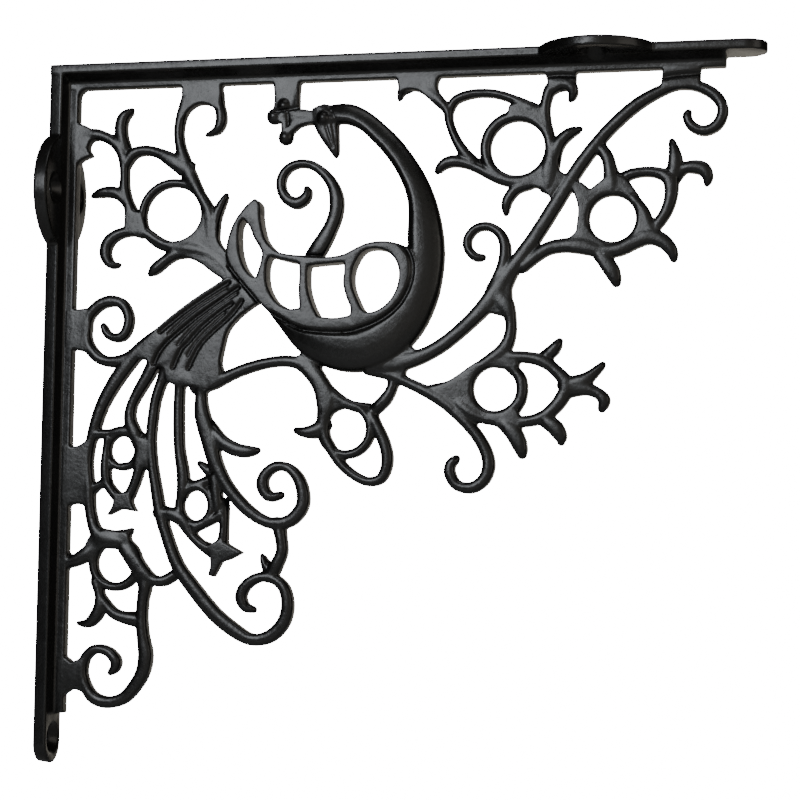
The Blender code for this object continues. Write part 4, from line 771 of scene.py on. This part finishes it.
def engrave(item):
    # pushes the front in along each groove, fading out across its width
    count = len(item.data.vertices)
    places = np.empty(count * 3)
    item.data.vertices.foreach_get("co", places)
    places = places.reshape(-1, 3)
    facing = np.empty(count * 3)
    item.data.vertex_normals.foreach_get("vector", facing)
    facing = facing.reshape(-1, 3)
    drawn = np.stack([places[:, 0] / mm, originDrop - places[:, 2] / mm], axis=1)
    ahead = (places[:, 1] < -engraving["frontFrom"] * mm) & (facing[:, 1] < -engraving["facing"])
    front = np.nonzero(ahead)[0]
    push = np.zeros(count)
    for points, width, depth in grooves.values():
        path = np.array(smoothLine(points))
        margin = engraving["reach"] * width
        low, high = path.min(axis=0) - margin, path.max(axis=0) + margin
        near = front[np.all((drawn[front] > low) & (drawn[front] < high), axis=1)]
        gap = np.full(len(near), np.inf)
        for a, b in zip(path[:-1], path[1:]):
            along = np.clip(((drawn[near] - a) @ (b - a)) / max(1e-9, (b - a) @ (b - a)), 0, 1)
            gap = np.minimum(gap, np.linalg.norm(drawn[near] - a - along[:, None] * (b - a), axis=1))
        push[near] = np.maximum(push[near], depth * np.exp(-(gap / width) ** 2))
    places[:, 1] += push * mm
    item.data.vertices.foreach_set("co", places.ravel())
    item.data.update()


def thin(item):
    faces = sum(len(polygon.vertices) - 2 for polygon in item.data.polygons)
    fewer = item.modifiers.new("thin", "DECIMATE")
    fewer.ratio = min(1.0, casting["mostTriangles"] / faces)
    return bake(item)


bracket = castTogether([armBody] + fretPieces())
for holder in sections.values():
    bpy.data.objects.remove(holder)
print("cast:", len(bracket.data.polygons), "faces")
engrave(bracket)
thin(bracket)
print("engraved and thinned:", len(bracket.data.polygons), "faces")
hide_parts("bracket")
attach(bracket, "root")


# Black stove enamel over sand-cast iron: sizes in metres
enamel = {
    "deep": (0.003, 0.003, 0.0032), "worn": (0.009, 0.0088, 0.0085),
    # each pattern's size, detail and roughness
    "patches": (0.03, 4.0, 0.5), "sand": (0.0009, 3.0, 0.6), "ripple": (0.004, 4.0, 0.55),
    "patchesInColour": 0.7, "rippleInSheen": 0.6,
    "roughLow": 0.25, "roughHigh": 0.35,
    "sandDepth": 0.00004, "rippleDepth": 0.00012, "specular": 0.5,
}


class Wire:
    # one output socket that can be used in plain sums
    def __init__(self, maker, socket):
        self.maker = maker
        self.socket = socket

    def work(self, operation, first, second):
        return self.maker.add("ShaderNodeMath", {"operation": operation}, {0: first, 1: second})["Value"]

    def __add__(self, other):
        return self.work("ADD", self, other)

    def __sub__(self, other):
        return self.work("SUBTRACT", self, other)

    def __rsub__(self, other):
        return self.work("SUBTRACT", other, self)

    def __mul__(self, other):
        return self.work("MULTIPLY", self, other)

    __radd__ = __add__
    __rmul__ = __mul__


class Maker:
    # builds one node tree
    def __init__(self, tree):
        self.tree = tree

    def add(self, kind, settings, sockets):
        node = self.tree.nodes.new(kind)
        for name, value in settings.items():
            setattr(node, name, value)
        named = {socket.name: socket for socket in node.inputs if socket.enabled}
        for name, value in sockets.items():
            target = node.inputs[name] if isinstance(name, int) else named[name]
            if isinstance(value, Wire):
                self.tree.links.new(value.socket, target)
            else:
                target.default_value = value
        return {socket.name: Wire(self, socket) for socket in node.outputs if socket.enabled}


def enamelMaterial():
    material = bpy.data.materials.new("blackEnamel")
    material.use_nodes = True
    tree = material.node_tree
    tree.nodes.clear()
    make = Maker(tree)
    place = make.add("ShaderNodeTexCoord", {}, {})["Object"]

    def noise(size, detail, rough):
        return make.add("ShaderNodeTexNoise", {}, {"Vector": place, "Scale": 1 / size, "Detail": detail,
                                                   "Roughness": rough})["Fac"]

    patches, sand, ripple = (noise(*enamel[name]) for name in ("patches", "sand", "ripple"))
    wear = patches * enamel["patchesInColour"] + sand * (1 - enamel["patchesInColour"])
    colour = make.add("ShaderNodeMix", {"data_type": "RGBA"},
                      {"Factor": wear, "A": (*enamel["deep"], 1), "B": (*enamel["worn"], 1)})["Result"]
    # noise keeps near its middle, so the sheen's range is stretched to twice its spread
    spread = enamel["roughHigh"] - enamel["roughLow"]
    sheen = ripple * enamel["rippleInSheen"] + patches * (1 - enamel["rippleInSheen"])
    rough = sheen * (2 * spread) + (enamel["roughLow"] - spread / 2)
    height = sand * enamel["sandDepth"] + ripple * enamel["rippleDepth"]
    bump = make.add("ShaderNodeBump", {}, {"Strength": 1.0, "Distance": 1.0, "Height": height})["Normal"]
    shader = make.add("ShaderNodeBsdfPrincipled", {},
                      {"Base Color": colour, "Roughness": rough, "Normal": bump, "Metallic": 0.0,
                       "Specular IOR Level": enamel["specular"]})["BSDF"]
    make.add("ShaderNodeOutputMaterial", {}, {"Surface": shader})
    return material


bracket.data.materials.clear()
bracket.data.materials.append(enamelMaterial())
print("enamel on")


# The studio: a pale floor under the bracket, a white surround and soft boxes
studio = {
    "floorX": 110, "floorDrop": 381.0, "floorSize": 1.8, "floorColour": (0.8, 0.8, 0.79, 1),
    "floorRoughness": 0.7,
    "whiteSeen": 20.0, "whiteBehind": 0.8, "whiteEdge": (0.87, 0.98),
    "frontGlow": 0.02, "glowColour": (1.0, 0.94, 0.82),
    # name: place, size, aimed at, power in watts, colour
    "lights": {
        "frontBox": ((-0.2, -1.05, 0.25), 0.43, (0.09, 0, 0.0), 4.7, (0.92, 0.955, 1.0)),
        "roomBox": ((0.75, -1.4, -0.1), 2.0, (0.09, 0, 0.0), 5.0, (1.0, 0.93, 0.84)),
        "rightBox": ((1.3, -0.5, 0.15), 0.7, (0.11, 0, -0.03), 1.8, (1.0, 0.94, 0.86)),
        "topBox": ((0.3, -0.5, 1.1), 0.6, (0.11, 0, 0), 2.0, (1.0, 1.0, 1.0)),
    },
}


def floorPiece():
    edit = bmesh.new()
    bmesh.ops.create_grid(edit, x_segments=1, y_segments=1, size=studio["floorSize"] / 2)
    bmesh.ops.translate(edit, verts=edit.verts, vec=world(studio["floorX"], studio["floorDrop"]))
    floor = addMesh("floor", edit)
    material = bpy.data.materials.new("paleFloor")
    material.use_nodes = True
    shader = material.node_tree.nodes["Principled BSDF"]
    shader.inputs["Base Color"].default_value = studio["floorColour"]
    shader.inputs["Roughness"].default_value = studio["floorRoughness"]
    floor.data.materials.append(material)


def whiteSurround():
    # the camera sees clean white; the bracket is lit by a white wall behind it and a dim warm room in front
    surround = bpy.data.worlds.new("whiteSurround")
    bpy.context.scene.world = surround
    surround.use_nodes = True
    surround.node_tree.nodes.clear()
    make = Maker(surround.node_tree)
    seen = make.add("ShaderNodeLightPath", {}, {})["Is Camera Ray"]
    towards = make.add("ShaderNodeTexCoord", {}, {})["Generated"]
    behind = make.add("ShaderNodeSeparateXYZ", {}, {"Vector": towards})["Y"]
    outer, inner = studio["whiteEdge"]
    wall = make.add("ShaderNodeMapRange", {"interpolation_type": "SMOOTHSTEP"},
                    {"Value": behind, "From Min": outer, "From Max": inner, "To Min": studio["frontGlow"],
                     "To Max": studio["whiteBehind"]})["Result"]
    strength = seen * (studio["whiteSeen"] - wall) + wall
    tint = make.add("ShaderNodeMix", {"data_type": "RGBA"},
                    {"Factor": seen, "A": (*studio["glowColour"], 1), "B": (1, 1, 1, 1)})["Result"]
    sky = make.add("ShaderNodeBackground", {}, {"Color": tint, "Strength": strength})["Background"]
    make.add("ShaderNodeOutputWorld", {}, {"Surface": sky})


def softBoxes():
    for name, (place, size, target, power, colour) in studio["lights"].items():
        light = bpy.data.lights.new(name, "AREA")
        light.shape = "SQUARE"
        light.size = size
        light.energy = power
        light.color = colour
        holder = bpy.data.objects.new(name, light)
        holder.location = place
        holder.rotation_euler = (Vector(target) - Vector(place)).to_track_quat("-Z", "Y").to_euler()
        bpy.context.scene.collection.objects.link(holder)


floorPiece()
whiteSurround()
softBoxes()
print("studio lit")


# The camera, fitted to the arms, lugs and rings of the photograph: a little below the bracket, to its right
view = {"place": (268.69, 164.65, -676.86), "turn": 12.673, "tilt": -4.571, "roll": 0.812,
        "lens": 100.28, "sensor": 36.0, "clipStart": 0.01}


def addCamera():
    turn, tilt, roll = (radians(view[name]) for name in ("turn", "tilt", "roll"))
    ahead = Vector((-sin(turn) * cos(tilt), cos(turn) * cos(tilt), -sin(tilt)))
    across = Vector((cos(turn), sin(turn), 0))
    up = across.cross(ahead)
    rolledAcross = across * cos(roll) + up * sin(roll)
    rolledUp = up * cos(roll) - across * sin(roll)
    turned = Matrix((rolledAcross, rolledUp, -ahead)).transposed().to_4x4()
    data = bpy.data.cameras.new("camera")
    data.lens = view["lens"]
    data.sensor_width = view["sensor"]
    data.clip_start = view["clipStart"]
    camera = bpy.data.objects.new("camera", data)
    camera.matrix_world = Matrix.Translation(world(*view["place"])) @ turned
    bpy.context.scene.collection.objects.link(camera)
    bpy.context.scene.camera = camera


addCamera()
print("camera set")
